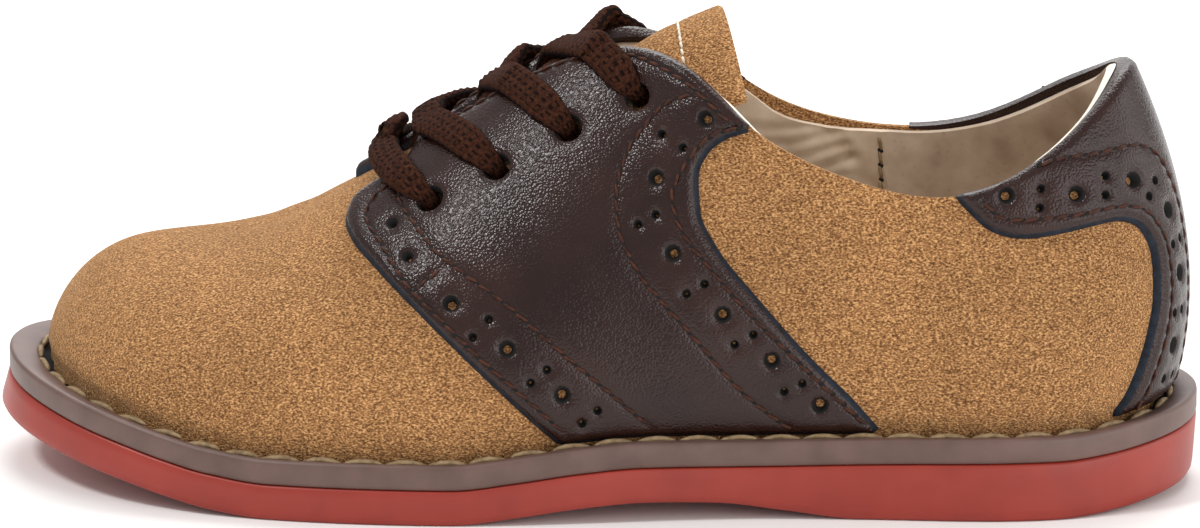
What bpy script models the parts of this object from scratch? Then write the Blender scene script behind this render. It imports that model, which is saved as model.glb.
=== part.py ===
"""A child's left saddle shoe, empty and standing on its sole.

Suede upper with a smooth leather saddle and backstay, a tongue, a flat lace,
a brown welt and a brick-red rubber outsole with a low heel.

The toe points to -X, the heel to +X and the outer side of the foot to -Y.
The origin is on the floor under the middle of the shoe.
All sizes below are in millimetres, and MM turns them into Blender's metres.
"""

import math
from collections import namedtuple

import bmesh
import bpy
import numpy as np

MM = 0.001

# Driving dimensions
UPPER_WALL = 2.0
LEATHER = 1.4
TONGUE_WALL = 1.6
INSOLE_THICKNESS = 2.4
WELT_THICKNESS = 3.7
SEAT_GAP = 0.3
OVERLAY_GAP = 0.35
INSOLE_CLEARANCE = 1.2
EYELET_RADIUS = 2.2
LACE_WIDTH = 5.8
LACE_THICKNESS = 2.2
LACE_CLEARANCE = 0.7
BAR_FORWARD = 7.6
BAR_LIFT = 5.0
CROSS_FORWARD = 12.4
CROSS_TOP = 4.9
CROSS_UNDER = 3.5
CROSS_BEYOND = 1.6

# The tables below are measured from the middle of the welt's length, and the flared
# toe makes the sole longer than that in front.
MIDDLE_SHIFT = 1.0

# Mesh fineness
COLUMNS_PER_STATION = 3
UPPER_ROWS = 10
SOLE_STRIPS = 4
SADDLE_ROWS = 12
SADDLE_COLUMNS = 11
BACKSTAY_COLUMNS = 18
TONGUE_COLUMNS = 10
EYELET_SIDES = 12
EYELET_DEPTH = 6.0
LACE_SIDES = 10
STRAND_POINTS = 5

# The sole seen from the side: where it is along the shoe, how far its underside
# is off the floor, and how thick the red rubber is there.
SoleRow = namedtuple("SoleRow", "x ground rubber")
SOLE_ROWS = (
    SoleRow(-97.0, 9.4, 5.5),
    SoleRow(-88.0, 7.2, 5.6),
    SoleRow(-80.0, 5.5, 5.6),
    SoleRow(-72.0, 3.9, 5.6),
    SoleRow(-65.0, 2.3, 5.6),
    SoleRow(-58.0, 0.9, 5.6),
    SoleRow(-48.0, 0.0, 5.5),
    SoleRow(-20.0, 0.0, 5.5),
    SoleRow(-10.0, 1.1, 5.5),
    SoleRow(0.0, 2.4, 5.5),
    SoleRow(9.0, 3.0, 5.5),
    SoleRow(20.0, 2.7, 5.7),
    SoleRow(30.0, 1.4, 7.0),
    SoleRow(42.0, 0.0, 8.7),
    SoleRow(72.0, 0.0, 9.2),
    SoleRow(80.0, 0.5, 9.2),
    SoleRow(88.0, 1.3, 9.2),
    SoleRow(96.0, 2.2, 9.2),
)

# How far the sole's edge stands out past the welt's edge at its underside.
FlareRow = namedtuple("FlareRow", "x flare")
FLARE_ROWS = (
    FlareRow(-96.0, 1.6),
    FlareRow(-80.0, 0.9),
    FlareRow(-60.0, 0.2),
    FlareRow(70.0, 0.0),
    FlareRow(94.0, -0.6),
)

# The last, in stations from the toe tip to the back of the heel.  Each station
# is a pair of curves, one on each side, that rise from the feather edge (where
# the upper meets the welt) to the top: the ridge of the vamp, then the edge of
# the throat, then the collar.
#   feather_x, lateral_y, medial_y   the feather edge on the two sides
#   ledge                            how far the welt stands out past the feather edge
#   top_x, top_half                  the top, and its distance from the ridge line
#   lateral_z, medial_z              the top's height on the two sides
#   ridge_y                          the ridge line
#   wall_out, wall_rise              how the curve leaves the feather edge
#   crown_out, crown_drop            how the curve comes to the top
Station = namedtuple(
    "Station",
    "name feather_x lateral_y medial_y ledge top_x top_half lateral_z medial_z ridge_y"
    " wall_out wall_rise crown_out crown_drop",
)
STATIONS = (
    Station("toe tip", -87.5, 4.5, 4.5, 6.0, -67.0, 0.0, 35.6, 35.6, 3.0, -0.4, 9.4, 12.0, 0.0),
    Station("toe front", -85.6, -5.6, 14.2, 5.6, -66.2, 0.0, 35.6, 35.6, 3.0, -0.2, 9.8, 12.6, 0.0),
    Station("toe corner", -80.9, -14.0, 21.6, 4.7, -64.0, 0.0, 35.7, 35.7, 3.0, 0.1, 10.8, 14.0, 0.0),
    Station("toe side", -73.6, -21.8, 27.6, 3.7, -59.8, 0.0, 36.0, 36.0, 2.9, 0.4, 12.4, 15.6, 0.0),
    Station("toe back", -62.4, -27.9, 31.4, 3.0, -52.6, 0.0, 37.5, 37.5, 2.7, 0.5, 14.0, 17.0, 0.0),
    Station("vamp", -48.0, -31.6, 33.0, 2.7, -44.5, 0.0, 41.5, 41.5, 2.4, 0.7, 16.0, 17.5, 0.0),
    Station("throat", -34.0, -33.1, 32.1, 2.6, -34.5, 0.0, 47.4, 47.4, 2.0, 0.8, 18.0, 16.0, 0.8),
    Station("ball", -20.0, -32.8, 29.5, 2.8, -21.0, 3.5, 55.8, 55.8, 1.7, 0.9, 20.0, 12.0, 2.0),
    Station("instep", -6.0, -30.6, 26.0, 3.3, -8.0, 5.5, 63.9, 63.9, 1.5, 1.0, 22.0, 9.0, 4.0),
    Station("facing top", 7.0, -28.1, 23.5, 3.4, 3.6, 7.5, 68.2, 67.7, 1.3, 1.2, 22.0, 7.5, 6.0),
    Station("saddle top", 19.0, -25.9, 22.2, 3.4, 14.5, 15.0, 67.2, 63.4, 1.1, 1.6, 20.0, 6.0, 12.0),
    Station("saddle back", 30.0, -24.5, 22.0, 3.4, 24.6, 20.0, 59.2, 55.8, 1.0, 2.0, 17.0, 4.0, 14.0),
    Station("collar front", 41.0, -24.0, 22.8, 3.3, 37.0, 21.3, 52.8, 51.4, 0.9, 2.2, 14.0, 2.5, 13.0),
    Station("collar low", 52.0, -24.3, 24.2, 2.9, 50.0, 20.8, 49.3, 50.8, 0.9, 2.2, 13.0, 2.5, 12.0),
    Station("collar back", 63.0, -24.0, 24.8, 2.8, 61.0, 19.0, 50.4, 53.8, 0.9, 2.6, 13.0, 3.0, 12.0),
    Station("heel side", 73.6, -21.2, 22.6, 3.2, 70.0, 15.0, 55.3, 59.0, 0.9, 3.4, 15.0, 5.0, 13.0),
    Station("heel corner", 81.3, -15.8, 17.4, 3.8, 76.4, 10.0, 61.0, 62.9, 0.9, 4.2, 16.0, 6.5, 15.0),
    Station("heel round", 86.2, -8.2, 9.8, 4.7, 79.6, 4.8, 64.8, 65.3, 0.9, 4.7, 17.0, 7.6, 17.0),
    Station("heel back", 87.8, 0.9, 0.9, 5.2, 80.6, 0.0, 65.9, 65.9, 0.9, 4.8, 17.0, 8.0, 17.0),
)
THROAT = 6
HALF_LOOP = len(STATIONS) - 1
LOOP = 2 * HALF_LOOP

# The saddle's edges, as seen from the side.  The lateral half's top front corner is
# rounded off, so that the vamp shows between it and the medial half.
EdgeRow = namedtuple("EdgeRow", "z x")
LATERAL_FRONT = (
    EdgeRow(9.0, 0.0),
    EdgeRow(13.0, -4.5),
    EdgeRow(21.0, -13.0),
    EdgeRow(31.0, -24.5),
    EdgeRow(37.0, -32.5),
    EdgeRow(40.0, -36.6),
    EdgeRow(41.8, -37.9),
    EdgeRow(43.4, -37.4),
    EdgeRow(44.9, -35.6),
    EdgeRow(47.1, -31.8),
    EdgeRow(49.5, -29.0),
    EdgeRow(51.5, -27.6),
)
MEDIAL_FRONT = (
    EdgeRow(9.0, 0.0),
    EdgeRow(13.0, -4.5),
    EdgeRow(21.0, -13.0),
    EdgeRow(31.0, -24.5),
    EdgeRow(37.0, -32.5),
    EdgeRow(40.5, -36.8),
    EdgeRow(43.0, -38.6),
    EdgeRow(45.5, -37.8),
    EdgeRow(47.4, -34.5),
)
SADDLE_REAR = (
    EdgeRow(12.0, 45.0),
    EdgeRow(17.0, 41.0),
    EdgeRow(24.5, 33.5),
    EdgeRow(33.5, 25.5),
    EdgeRow(41.0, 19.2),
    EdgeRow(46.5, 16.4),
    EdgeRow(52.0, 16.0),
    EdgeRow(55.5, 17.5),
    EdgeRow(58.0, 20.6),
    EdgeRow(59.4, 24.6),
)

# The backstay: its reach from the back seam on the two sides, at each share of the way up
# the wall.  The medial wing is the longer one.
ReachRow = namedtuple("ReachRow", "share lateral medial")
BACKSTAY_ROWS = (
    ReachRow(0.01, 19.4, 19.4),
    ReachRow(0.10, 17.8, 17.8),
    ReachRow(0.22, 15.6, 15.6),
    ReachRow(0.36, 13.2, 13.2),
    ReachRow(0.50, 12.2, 12.2),
    ReachRow(0.58, 13.3, 13.3),
    ReachRow(0.62, 14.9, 14.9),
    ReachRow(0.655, 17.5, 17.9),
    ReachRow(0.69, 22.4, 23.4),
    ReachRow(0.73, 28.1, 30.3),
    ReachRow(0.78, 33.2, 36.6),
    ReachRow(0.85, 36.2, 41.5),
    ReachRow(0.92, 37.3, 44.4),
    ReachRow(1.00, 38.4, 46.4),
)

# The tongue's cross-sections from its hidden front end to its free top edge.
TongueRow = namedtuple("TongueRow", "x middle_y z half drop lean skew")
TONGUE_ROWS = (
    TongueRow(-37.0, 1.4, 42.7, 7.0, 1.1, 0.0, 0.0),
    TongueRow(-24.0, 1.2, 50.4, 9.0, 3.0, 0.0, 0.0),
    TongueRow(-10.0, 0.9, 59.1, 10.4, 5.0, 0.0, 0.0),
    TongueRow(2.0, 0.4, 65.2, 11.4, 8.2, 0.5, 0.5),
    TongueRow(10.0, 0.0, 70.3, 11.8, 10.8, 1.2, 1.2),
    TongueRow(19.0, 0.1, 74.2, 15.2, 10.8, 2.0, 2.5),
)

# The lace's eyelets: their place along the shoe and how far they are from the facing's edge.
EyeletRow = namedtuple("EyeletRow", "x from_edge")
EYELETS = (
    EyeletRow(-24.4, 16.7),
    EyeletRow(-14.3, 15.1),
    EyeletRow(-3.5, 12.6),
    EyeletRow(7.2, 8.3),
)


# Curves through tables


def smooth_loop(values, at):
    """A closed cubic spline through values at 0, 1, 2 and so on, read at the places in at."""
    values = np.asarray(values, float)
    count = len(values)
    neighbours = np.roll(np.eye(count), 1, 1) + np.roll(np.eye(count), -1, 1)
    turns = 6.0 * (np.roll(values, 1) - 2.0 * values + np.roll(values, -1))
    bend = np.linalg.solve(4.0 * np.eye(count) + neighbours, turns)
    low = np.floor(at).astype(int)
    after = at - low
    before = 1.0 - after
    here, there = low % count, (low + 1) % count
    line = before * values[here] + after * values[there]
    return line + ((before**3 - before) * bend[here] + (after**3 - after) * bend[there]) / 6.0


def steady_curve(places, values, at):
    """A smooth curve through a table that never swings past the table's own values."""
    places, values, at = (np.asarray(a, float) for a in (places, values, at))
    gaps = np.diff(places)
    rates = np.diff(values) / gaps
    slopes = np.zeros(len(values))
    same_way = rates[:-1] * rates[1:] > 0
    total = np.where(same_way, rates[:-1] + rates[1:], 1.0)
    slopes[1:-1] = np.where(same_way, 2.0 * rates[:-1] * rates[1:] / total, 0.0)
    slopes[0], slopes[-1] = rates[0], rates[-1]
    low = np.clip(np.searchsorted(places, at) - 1, 0, len(gaps) - 1)
    share = np.clip((at - places[low]) / gaps[low], 0.0, 1.0)
    rise = share * share * (3.0 - 2.0 * share)
    leave = share * (1.0 - share) ** 2 * gaps[low] * slopes[low]
    arrive = share**2 * (share - 1.0) * gaps[low] * slopes[low + 1]
    return values[low] + (values[low + 1] - values[low]) * rise + leave + arrive


def column(rows, name):
    return [getattr(row, name) for row in rows]


def table_curve(rows, along, value, at):
    return steady_curve(column(rows, along), column(rows, value), at)


def ground_height(x):
    return table_curve(SOLE_ROWS, "x", "ground", x)


def rubber_top(x):
    return ground_height(x) + table_curve(SOLE_ROWS, "x", "rubber", x)


def welt_top(x):
    return rubber_top(x) + SEAT_GAP + WELT_THICKNESS


# The last's surface
# A place on it is (loop, rise): loop runs 0 at the toe tip, along the lateral side to
# HALF_LOOP at the back of the heel and on round the medial side; rise is 0 at the
# feather edge and 1 at the top.


def around(lateral, medial=None):
    """A table column on the closed loop: along the lateral side and back along the medial."""
    return column(STATIONS, lateral) + column(STATIONS, medial or lateral)[-2:0:-1]


def feather_edge(loop):
    x = smooth_loop(around("feather_x"), loop)
    y = smooth_loop(around("lateral_y", "medial_y"), loop)
    return x, y


def top_edge(loop):
    half = column(STATIONS, "top_half")
    signed = [-h for h in half] + half[-2:0:-1] + [0.0]
    spread = steady_curve(range(LOOP + 1), signed, loop % LOOP)
    x = smooth_loop(around("top_x"), loop)
    y = smooth_loop(around("ridge_y"), loop) + spread
    z = smooth_loop(around("lateral_z", "medial_z"), loop)
    return x, y, z


def last_point(loop, rise):
    """The upper's outer surface, as an array of points."""
    loop, rise = np.broadcast_arrays(np.asarray(loop, float), np.asarray(rise, float))
    foot_x, foot_y = feather_edge(loop)
    foot_z = welt_top(foot_x) + SEAT_GAP
    top_x, top_y, top_z = top_edge(loop)
    out_x, out_y = foot_x - top_x, foot_y - top_y
    reach = np.hypot(out_x, out_y)
    out_x, out_y = out_x / reach, out_y / reach
    wall_out = smooth_loop(around("wall_out"), loop)
    wall_z = foot_z + smooth_loop(around("wall_rise"), loop)
    crown_out = smooth_loop(around("crown_out"), loop)
    crown_z = top_z - smooth_loop(around("crown_drop"), loop)
    foot = (1.0 - rise) ** 3
    wall = 3.0 * (1.0 - rise) ** 2 * rise
    crown = 3.0 * (1.0 - rise) * rise**2
    top = rise**3
    outwards = wall * wall_out + crown * crown_out
    x = (foot + wall) * foot_x + (crown + top) * top_x + outwards * out_x
    y = (foot + wall) * foot_y + (crown + top) * top_y + outwards * out_y
    z = foot * foot_z + wall * wall_z + crown * crown_z + top * top_z
    return np.stack([x, y, z], -1)


def last_normal(loop, rise):
    """The surface's outward direction, kept a little off the feather edge and the top."""
    step = 0.01
    rise = np.clip(rise, 0.02, 0.97)
    along = last_point(loop + step, rise) - last_point(loop - step, rise)
    upward = last_point(loop, rise + step) - last_point(loop, rise - step)
    normal = np.cross(along, upward)
    return normal / np.linalg.norm(normal, axis=-1, keepdims=True)


def lifted(loop, rise, lift):
    loop, rise = np.broadcast_arrays(np.asarray(loop, float), np.asarray(rise, float))
    return last_point(loop, rise) + lift * last_normal(loop, rise)


# Meshes


def material(name, colour, roughness):
    made = bpy.data.materials.new(name)
    made.use_nodes = True
    shader = made.node_tree.nodes["Principled BSDF"]
    shader.inputs["Base Color"].default_value = (*colour, 1.0)
    shader.inputs["Roughness"].default_value = roughness
    shader.inputs["Metallic"].default_value = 0.0
    return made


def solid(name, points, faces, finish, parent):
    """A named object from points in millimetres."""
    mesh = bpy.data.meshes.new(name)
    mesh.from_pydata((np.asarray(points, float) * MM).tolist(), [], faces)
    mesh.validate()
    mesh.shade_smooth()
    mesh.set_sharp_from_angle(angle=math.radians(40))
    if finish:
        mesh.materials.append(finish)
    made = bpy.data.objects.new(name, mesh)
    bpy.context.scene.collection.objects.link(made)
    made.parent = parent
    return made


def grid_faces(rows, columns, closed=False):
    """Quads of a grid of points stored row by row; closed joins the last column to the first."""
    faces = []
    for row in range(rows - 1):
        for place in range(columns if closed else columns - 1):
            after = (place + 1) % columns
            low, high = row * columns, (row + 1) * columns
            faces.append((low + place, low + after, high + after, high + place))
    return faces


def shell(name, grid, thickness, finish, parent):
    """A sheet of the given thickness: one face is a grid of points and the other is outside it."""
    rows, columns = grid.shape[:2]
    made = solid(name, grid.reshape(-1, 3), grid_faces(rows, columns), finish, parent)
    thicken(made, thickness, 1.0)
    return made


def tube(name, rings, finish, parent):
    """A closed solid through rings of points, with flat ends."""
    count, sides = rings.shape[:2]
    faces = grid_faces(count, sides, closed=True)
    faces.append(tuple(range(sides)))
    faces.append(tuple(range((count - 1) * sides, count * sides)))
    return face_outwards(solid(name, rings.reshape(-1, 3), faces, finish, parent))


def thicken(made, thickness, side):
    """Solidify: side 1 grows along the normals, side -1 against them."""
    wall = made.modifiers.new("thickness", "SOLIDIFY")
    wall.thickness = thickness * MM
    wall.offset = side
    wall.use_even_offset = True
    wall.use_rim = True


def cut(made, cutter, operation="DIFFERENCE"):
    step = made.modifiers.new(operation.lower(), "BOOLEAN")
    step.operation = operation
    step.object = cutter
    step.solver = "EXACT"
    step.use_self = operation == "UNION"


def face_outwards(made):
    """Turns the faces of a closed mesh to point out of it."""
    shape = bmesh.new()
    shape.from_mesh(made.data)
    bmesh.ops.recalc_face_normals(shape, faces=shape.faces)
    if shape.calc_volume(signed=True) < 0.0:
        bmesh.ops.reverse_faces(shape, faces=shape.faces)
    shape.to_mesh(made.data)
    shape.free()
    return made


def helper(made):
    """A shape that only cuts or joins another one."""
    made.hide_render = True
    made.display_type = "WIRE"
    return made


# Sole, welt and insole


OUTLINE_LOOP = np.arange(LOOP * 2) / 2.0


def welt_ledge():
    return smooth_loop(around("ledge"), OUTLINE_LOOP)


def outline(ledge):
    """The feather edge moved outwards by ledge, as points round the loop."""
    loop = OUTLINE_LOOP
    x, y = feather_edge(loop)
    ahead, behind = feather_edge(loop + 0.01), feather_edge(loop - 0.01)
    along = np.stack([ahead[0] - behind[0], ahead[1] - behind[1]], -1)
    along /= np.linalg.norm(along, axis=-1, keepdims=True)
    return x + along[:, 1] * ledge, y - along[:, 0] * ledge


def slab(name, top_edge_xy, bottom_edge_xy, top_height, bottom_height, finish, parent):
    """A bent plate between two outlines, with strips across it so that it follows its heights."""
    (top_x, top_y), (low_x, low_y) = top_edge_xy, bottom_edge_xy
    count = len(top_x)
    half = count // 2
    points, faces = [], []

    def face_points(xs, ys, height):
        """The rows of points across the plate, from toe to heel; the two tips are single points."""
        rows = []
        for place in range(half + 1):
            lateral, medial = place, (count - place) % count
            if lateral == medial:
                shares = [0.0]
            else:
                shares = [strip / SOLE_STRIPS for strip in range(SOLE_STRIPS + 1)]
            row = []
            for share in shares:
                x = xs[lateral] + (xs[medial] - xs[lateral]) * share
                y = ys[lateral] + (ys[medial] - ys[lateral]) * share
                row.append(len(points))
                points.append((x, y, float(height(x))))
            rows.append(row)
        return rows

    def skin(rows, upward):
        for near, far in zip(rows[:-1], rows[1:]):
            for strip in range(SOLE_STRIPS):
                corners = [
                    near[min(strip, len(near) - 1)],
                    far[min(strip, len(far) - 1)],
                    far[min(strip + 1, len(far) - 1)],
                    near[min(strip + 1, len(near) - 1)],
                ]
                corners = list(dict.fromkeys(corners))
                faces.append(corners if upward else corners[::-1])

    def rim(rows):
        return [row[0] for row in rows] + [row[-1] for row in rows[-2:0:-1]]

    top_rows = face_points(top_x, top_y, top_height)
    low_rows = face_points(low_x, low_y, bottom_height)
    skin(top_rows, True)
    skin(low_rows, False)
    top_rim, low_rim = rim(top_rows), rim(low_rows)
    for place in range(len(top_rim)):
        after = (place + 1) % len(top_rim)
        faces.append((top_rim[place], low_rim[place], low_rim[after], top_rim[after]))
    return solid(name, points, faces, finish, parent)


def make_outsole(finish, parent):
    edge = outline(welt_ledge())
    flare = table_curve(FLARE_ROWS, "x", "flare", edge[0])
    low_edge = outline(welt_ledge() + flare)
    return slab("outsole", edge, low_edge, rubber_top, ground_height, finish, parent)


def make_welt(finish, parent):
    edge = outline(welt_ledge())

    def underside(x):
        return rubber_top(x) + SEAT_GAP

    return slab("welt", edge, edge, welt_top, underside, finish, parent)


def make_insole(finish, parent):
    edge = outline(-(UPPER_WALL + INSOLE_CLEARANCE))

    def underside(x):
        return welt_top(x) + SEAT_GAP

    def top(x):
        return underside(x) + INSOLE_THICKNESS

    return slab("insole", edge, edge, top, underside, finish, parent)


# Upper and its overlays


def make_upper(finish, parent):
    """One wall round the whole foot: the two sides meet along the vamp's ridge."""
    count = LOOP * COLUMNS_PER_STATION
    loops = np.arange(count) / COLUMNS_PER_STATION
    rises = np.linspace(0.0, 1.0, UPPER_ROWS + 1)
    grid = last_point(loops[None, :], rises[:, None])
    faces = grid_faces(UPPER_ROWS + 1, count, closed=True)
    top_row = UPPER_ROWS * count
    ridge = THROAT * COLUMNS_PER_STATION
    joined = {top_row + count - place: top_row + place for place in range(1, ridge + 1)}
    faces = [list(dict.fromkeys(joined.get(corner, corner) for corner in face)) for face in faces]
    used = sorted({corner for face in faces for corner in face})
    number = {corner: place for place, corner in enumerate(used)}
    faces = [[number[corner] for corner in face] for face in faces]
    made = solid("upper", grid.reshape(-1, 3)[used], faces, finish, parent)
    thicken(made, UPPER_WALL, -1.0)
    return made


def edge_places(edge, rise, medial):
    """Where an edge given as x by height crosses the row at this rise, as a loop place."""
    first, last = 3.0, HALF_LOOP - 2.0
    trial = np.linspace(first, last, 800)
    row = last_point(LOOP - trial if medial else trial, rise)
    miss = row[:, 0] - table_curve(edge, "z", "x", row[:, 2])
    crossing = np.nonzero((miss[:-1] < 0) & (miss[1:] >= 0))[0][-1]
    share = miss[crossing] / (miss[crossing] - miss[crossing + 1])
    return trial[crossing] + share * (trial[crossing + 1] - trial[crossing])


def make_saddle(name, medial, finish, parent):
    """A leather half saddle from the welt to the facing's edge."""
    rises = np.linspace(0.005, 1.0, SADDLE_ROWS + 1)
    rows = []
    for rise in rises:
        front = edge_places(MEDIAL_FRONT if medial else LATERAL_FRONT, rise, medial)
        front = float(THROAT) if medial and rise == 1.0 else front
        rear = edge_places(SADDLE_REAR, rise, medial)
        places = np.linspace(front, rear, SADDLE_COLUMNS + 1)
        loops = LOOP - places[::-1] if medial else places
        rows.append(lifted(loops, rise, OVERLAY_GAP))
    return shell(name, np.array(rows), LEATHER, finish, parent)


def make_backstay(finish, parent):
    """Collar wings and heel strip in one piece, cut by its reach from the back seam."""
    trial = HALF_LOOP + np.linspace(-7.0, 7.0, 561)
    rows = []
    for row in BACKSTAY_ROWS:
        points = last_point(trial, row.share)
        steps = np.linalg.norm(np.diff(points, axis=0), axis=1)
        travelled = np.concatenate([[0.0], np.cumsum(steps)])
        travelled -= travelled[len(trial) // 2]
        share_across = np.linspace(-1.0, 1.0, BACKSTAY_COLUMNS + 1)
        spread = share_across * np.where(share_across < 0.0, row.lateral, row.medial)
        loops = np.interp(spread, travelled, trial)
        rows.append(lifted(loops, row.share, OVERLAY_GAP))
    return shell("backstay", np.array(rows), LEATHER, finish, parent)


def make_tongue(finish, parent):
    """A leaf bent over the instep, under the facings and standing out above them."""
    across = np.linspace(-1.0, 1.0, TONGUE_COLUMNS + 1)
    rows = []
    for row in TONGUE_ROWS:
        x = row.x + row.lean * across**2 - row.skew * across
        y = row.middle_y + row.half * across
        z = row.z - row.drop * across**2
        rows.append(np.stack([x, y, z], -1))
    return shell("tongue", np.array(rows), TONGUE_WALL, finish, parent)


# Eyelets and lace


def facing_place(x, from_edge):
    """The place on the lateral facing at this x and this far down from the facing's edge."""
    places = np.linspace(THROAT + 0.2, THROAT + 4.0, 160)
    rises = np.linspace(1.0, 0.5, 120)
    points = last_point(places[:, None], rises[None, :])
    steps = np.linalg.norm(np.diff(points, axis=1), axis=2)
    down = np.concatenate([np.zeros((len(places), 1)), np.cumsum(steps, axis=1)], axis=1)
    rise_at = np.array([np.interp(from_edge, row, rises) for row in down])
    x_at = last_point(places, rise_at)[:, 0]
    place = np.interp(x, x_at, places)
    return place, np.interp(place, places, rise_at)


def facing_point(x, from_edge, lift, medial):
    place, rise = facing_place(x, from_edge)
    loop = LOOP - place if medial else place
    return lifted(loop, rise, lift), last_normal(np.asarray(loop), np.asarray(rise))


def cut_eyelets(upper, saddles, parent):
    """Round holes through each facing, at right angles to it."""
    turn = np.linspace(0.0, 2.0 * math.pi, EYELET_SIDES, endpoint=False)
    for number, eyelet in enumerate(EYELETS, 1):
        for side, saddle in saddles.items():
            centre, normal = facing_point(eyelet.x, eyelet.from_edge, 0.0, side == "medial")
            across = np.cross(normal, (1.0, 0.0, 0.0))
            across /= np.linalg.norm(across)
            along = np.cross(across, normal)
            ring = EYELET_RADIUS * (np.cos(turn)[:, None] * along + np.sin(turn)[:, None] * across)
            depth = EYELET_DEPTH * normal
            ends = np.array([ring + centre - depth, ring + centre + depth])
            punch = helper(tube(f"eyelet_{number}_{side}", ends, None, parent))
            cut(upper, punch)
            cut(saddle, punch)


def ribbon(name, path, normals, finish, parent):
    """A flat lace with rounded edges along a path of points."""
    path, normals = np.asarray(path), np.asarray(normals)
    along = np.gradient(path, axis=0)
    along /= np.linalg.norm(along, axis=1, keepdims=True)
    across = np.cross(along, normals)
    across /= np.linalg.norm(across, axis=1, keepdims=True)
    upward = np.cross(across, along)
    turn = np.linspace(0.0, 2.0 * math.pi, LACE_SIDES, endpoint=False)
    side = np.sign(np.cos(turn)) * np.abs(np.cos(turn)) ** 0.7 * LACE_WIDTH / 2.0
    rise = np.sign(np.sin(turn)) * np.abs(np.sin(turn)) ** 0.7 * LACE_THICKNESS / 2.0
    sideways = side[None, :, None] * across[:, None]
    rings = path[:, None] + sideways + rise[None, :, None] * upward[:, None]
    return tube(name, rings, finish, parent)


def ridge_point(x, lift):
    """A point above the middle of the throat, lifted off the facings' edges."""
    edge = facing_point(x, 0.0, 0.0, False)[0]
    place = facing_place(x, 0.0)[0]
    ridge = smooth_loop(around("ridge_y"), np.asarray(place))
    return np.array([x, ridge, edge[2] + lift])


def strand_path(eyelet, forward, lift, medial, rounded=False):
    """Points and normals from above an eyelet, over the facing, to above the middle of the throat.

    A rounded strand comes to the middle straight across, and another one on a slant.
    """
    level = OVERLAY_GAP + LEATHER + LACE_CLEARANCE + LACE_THICKNESS / 2.0
    middle = ridge_point(eyelet.x - forward, lift)
    edge = facing_point(eyelet.x - forward, 0.0, 0.0, medial)[0]
    on_facing = eyelet.from_edge / (eyelet.from_edge + abs(middle[1] - edge[1]))
    path, normals = [], []
    for share in np.linspace(0.0, 0.95, STRAND_POINTS):
        down = eyelet.from_edge * (1.0 - share)
        travel = share * on_facing
        travel = 1.0 - (1.0 - travel) ** 2 if rounded else travel
        point, normal = facing_point(eyelet.x - forward * travel, down, level, medial)
        path.append(point)
        normals.append(normal)
    if rounded:
        middle[0] = path[-1][0]
    path.append(middle)
    normals.append(np.array([0.0, 0.0, 1.0]))
    return np.array(path), np.array(normals)


def smooth_path(points, steps):
    """A Catmull-Rom curve through points, with steps pieces between each two."""
    points = np.asarray(points)
    ends = np.concatenate([2.0 * points[:1] - points[1:2], points, 2.0 * points[-1:] - points[-2:-1]])
    curve = []
    for place in range(len(points) - 1):
        before, start, stop, after = ends[place:place + 4]
        for step in range(steps):
            t = step / steps
            bend = (2.0 * before - 5.0 * start + 4.0 * stop - after) * t * t
            turn = (3.0 * start - before - 3.0 * stop + after) * t**3
            curve.append(start + 0.5 * ((stop - before) * t + bend + turn))
    curve.append(points[-1])
    return np.array(curve)


def make_lace(finish, parent):
    """A straight bar over the first eyelets, then crossings that join at the middle of the throat."""
    near, near_normals = strand_path(EYELETS[0], BAR_FORWARD, BAR_LIFT, False, True)
    far, far_normals = strand_path(EYELETS[0], BAR_FORWARD, BAR_LIFT, True, True)
    path = np.concatenate([near, far[-2::-1]])
    normals = np.concatenate([near_normals, far_normals[-2::-1]])
    ribbon("lace_bar", smooth_path(path, 2), smooth_path(normals, 2), finish, parent)
    for number, eyelet in enumerate(EYELETS[1:], 1):
        strands = []
        for medial, lift in ((False, CROSS_TOP), (True, CROSS_UNDER)):
            path, normals = strand_path(eyelet, CROSS_FORWARD, lift, medial)
            onward = (path[-1] - path[-2]) * (1.0, 1.0, 0.0)
            beyond = path[-1] + CROSS_BEYOND * onward / np.linalg.norm(onward)
            path = np.concatenate([path, [beyond]])
            normals = np.concatenate([normals, normals[-1:]])
            name = f"lace_strand_{number}" if medial else f"lace_cross_{number}"
            strands.append(ribbon(name, smooth_path(path, 2), smooth_path(normals, 2), finish, parent))
        cut(strands[0], helper(strands[1]), "UNION")


def main():
    for old in list(bpy.data.objects):
        bpy.data.objects.remove(old, do_unlink=True)
    shoe = bpy.data.objects.new("shoe", None)
    shoe.location.x = MIDDLE_SHIFT * MM
    bpy.context.scene.collection.objects.link(shoe)
    suede = material("tan suede", (0.42, 0.24, 0.10), 0.95)
    leather = material("dark brown leather", (0.035, 0.018, 0.014), 0.38)
    red_rubber = material("brick red rubber", (0.33, 0.055, 0.038), 0.5)
    brown_rubber = material("brown rubber", (0.13, 0.075, 0.062), 0.5)
    lining = material("beige lining leather", (0.52, 0.40, 0.29), 0.7)
    cotton = material("brown cotton", (0.06, 0.025, 0.014), 0.9)
    make_outsole(red_rubber, shoe)
    make_welt(brown_rubber, shoe)
    make_insole(lining, shoe)
    upper = make_upper(suede, shoe)
    saddles = {
        "lateral": make_saddle("saddle_lateral", False, leather, shoe),
        "medial": make_saddle("saddle_medial", True, leather, shoe),
    }
    cut_eyelets(upper, saddles, shoe)
    make_backstay(leather, shoe)
    make_tongue(suede, shoe)
    make_lace(cotton, shoe)


if __name__ == "__main__":
    main()
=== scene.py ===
# %% [markdown]
# # A child's saddle shoe, dressed in Blender
#
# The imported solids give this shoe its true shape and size. This lesson dresses them with
# what the eye expects: suede with a nap, pebbled leather with punched holes and sewn edges,
# a braided lace, a stitched welt and a rubber sole. Every piece is made from the same curves
# as the solids, so it lands where the solid is.

# %% Load the frame
import math

import bpy
import numpy as np
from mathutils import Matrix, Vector
from mathutils.geometry import delaunay_2d_cdt


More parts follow.
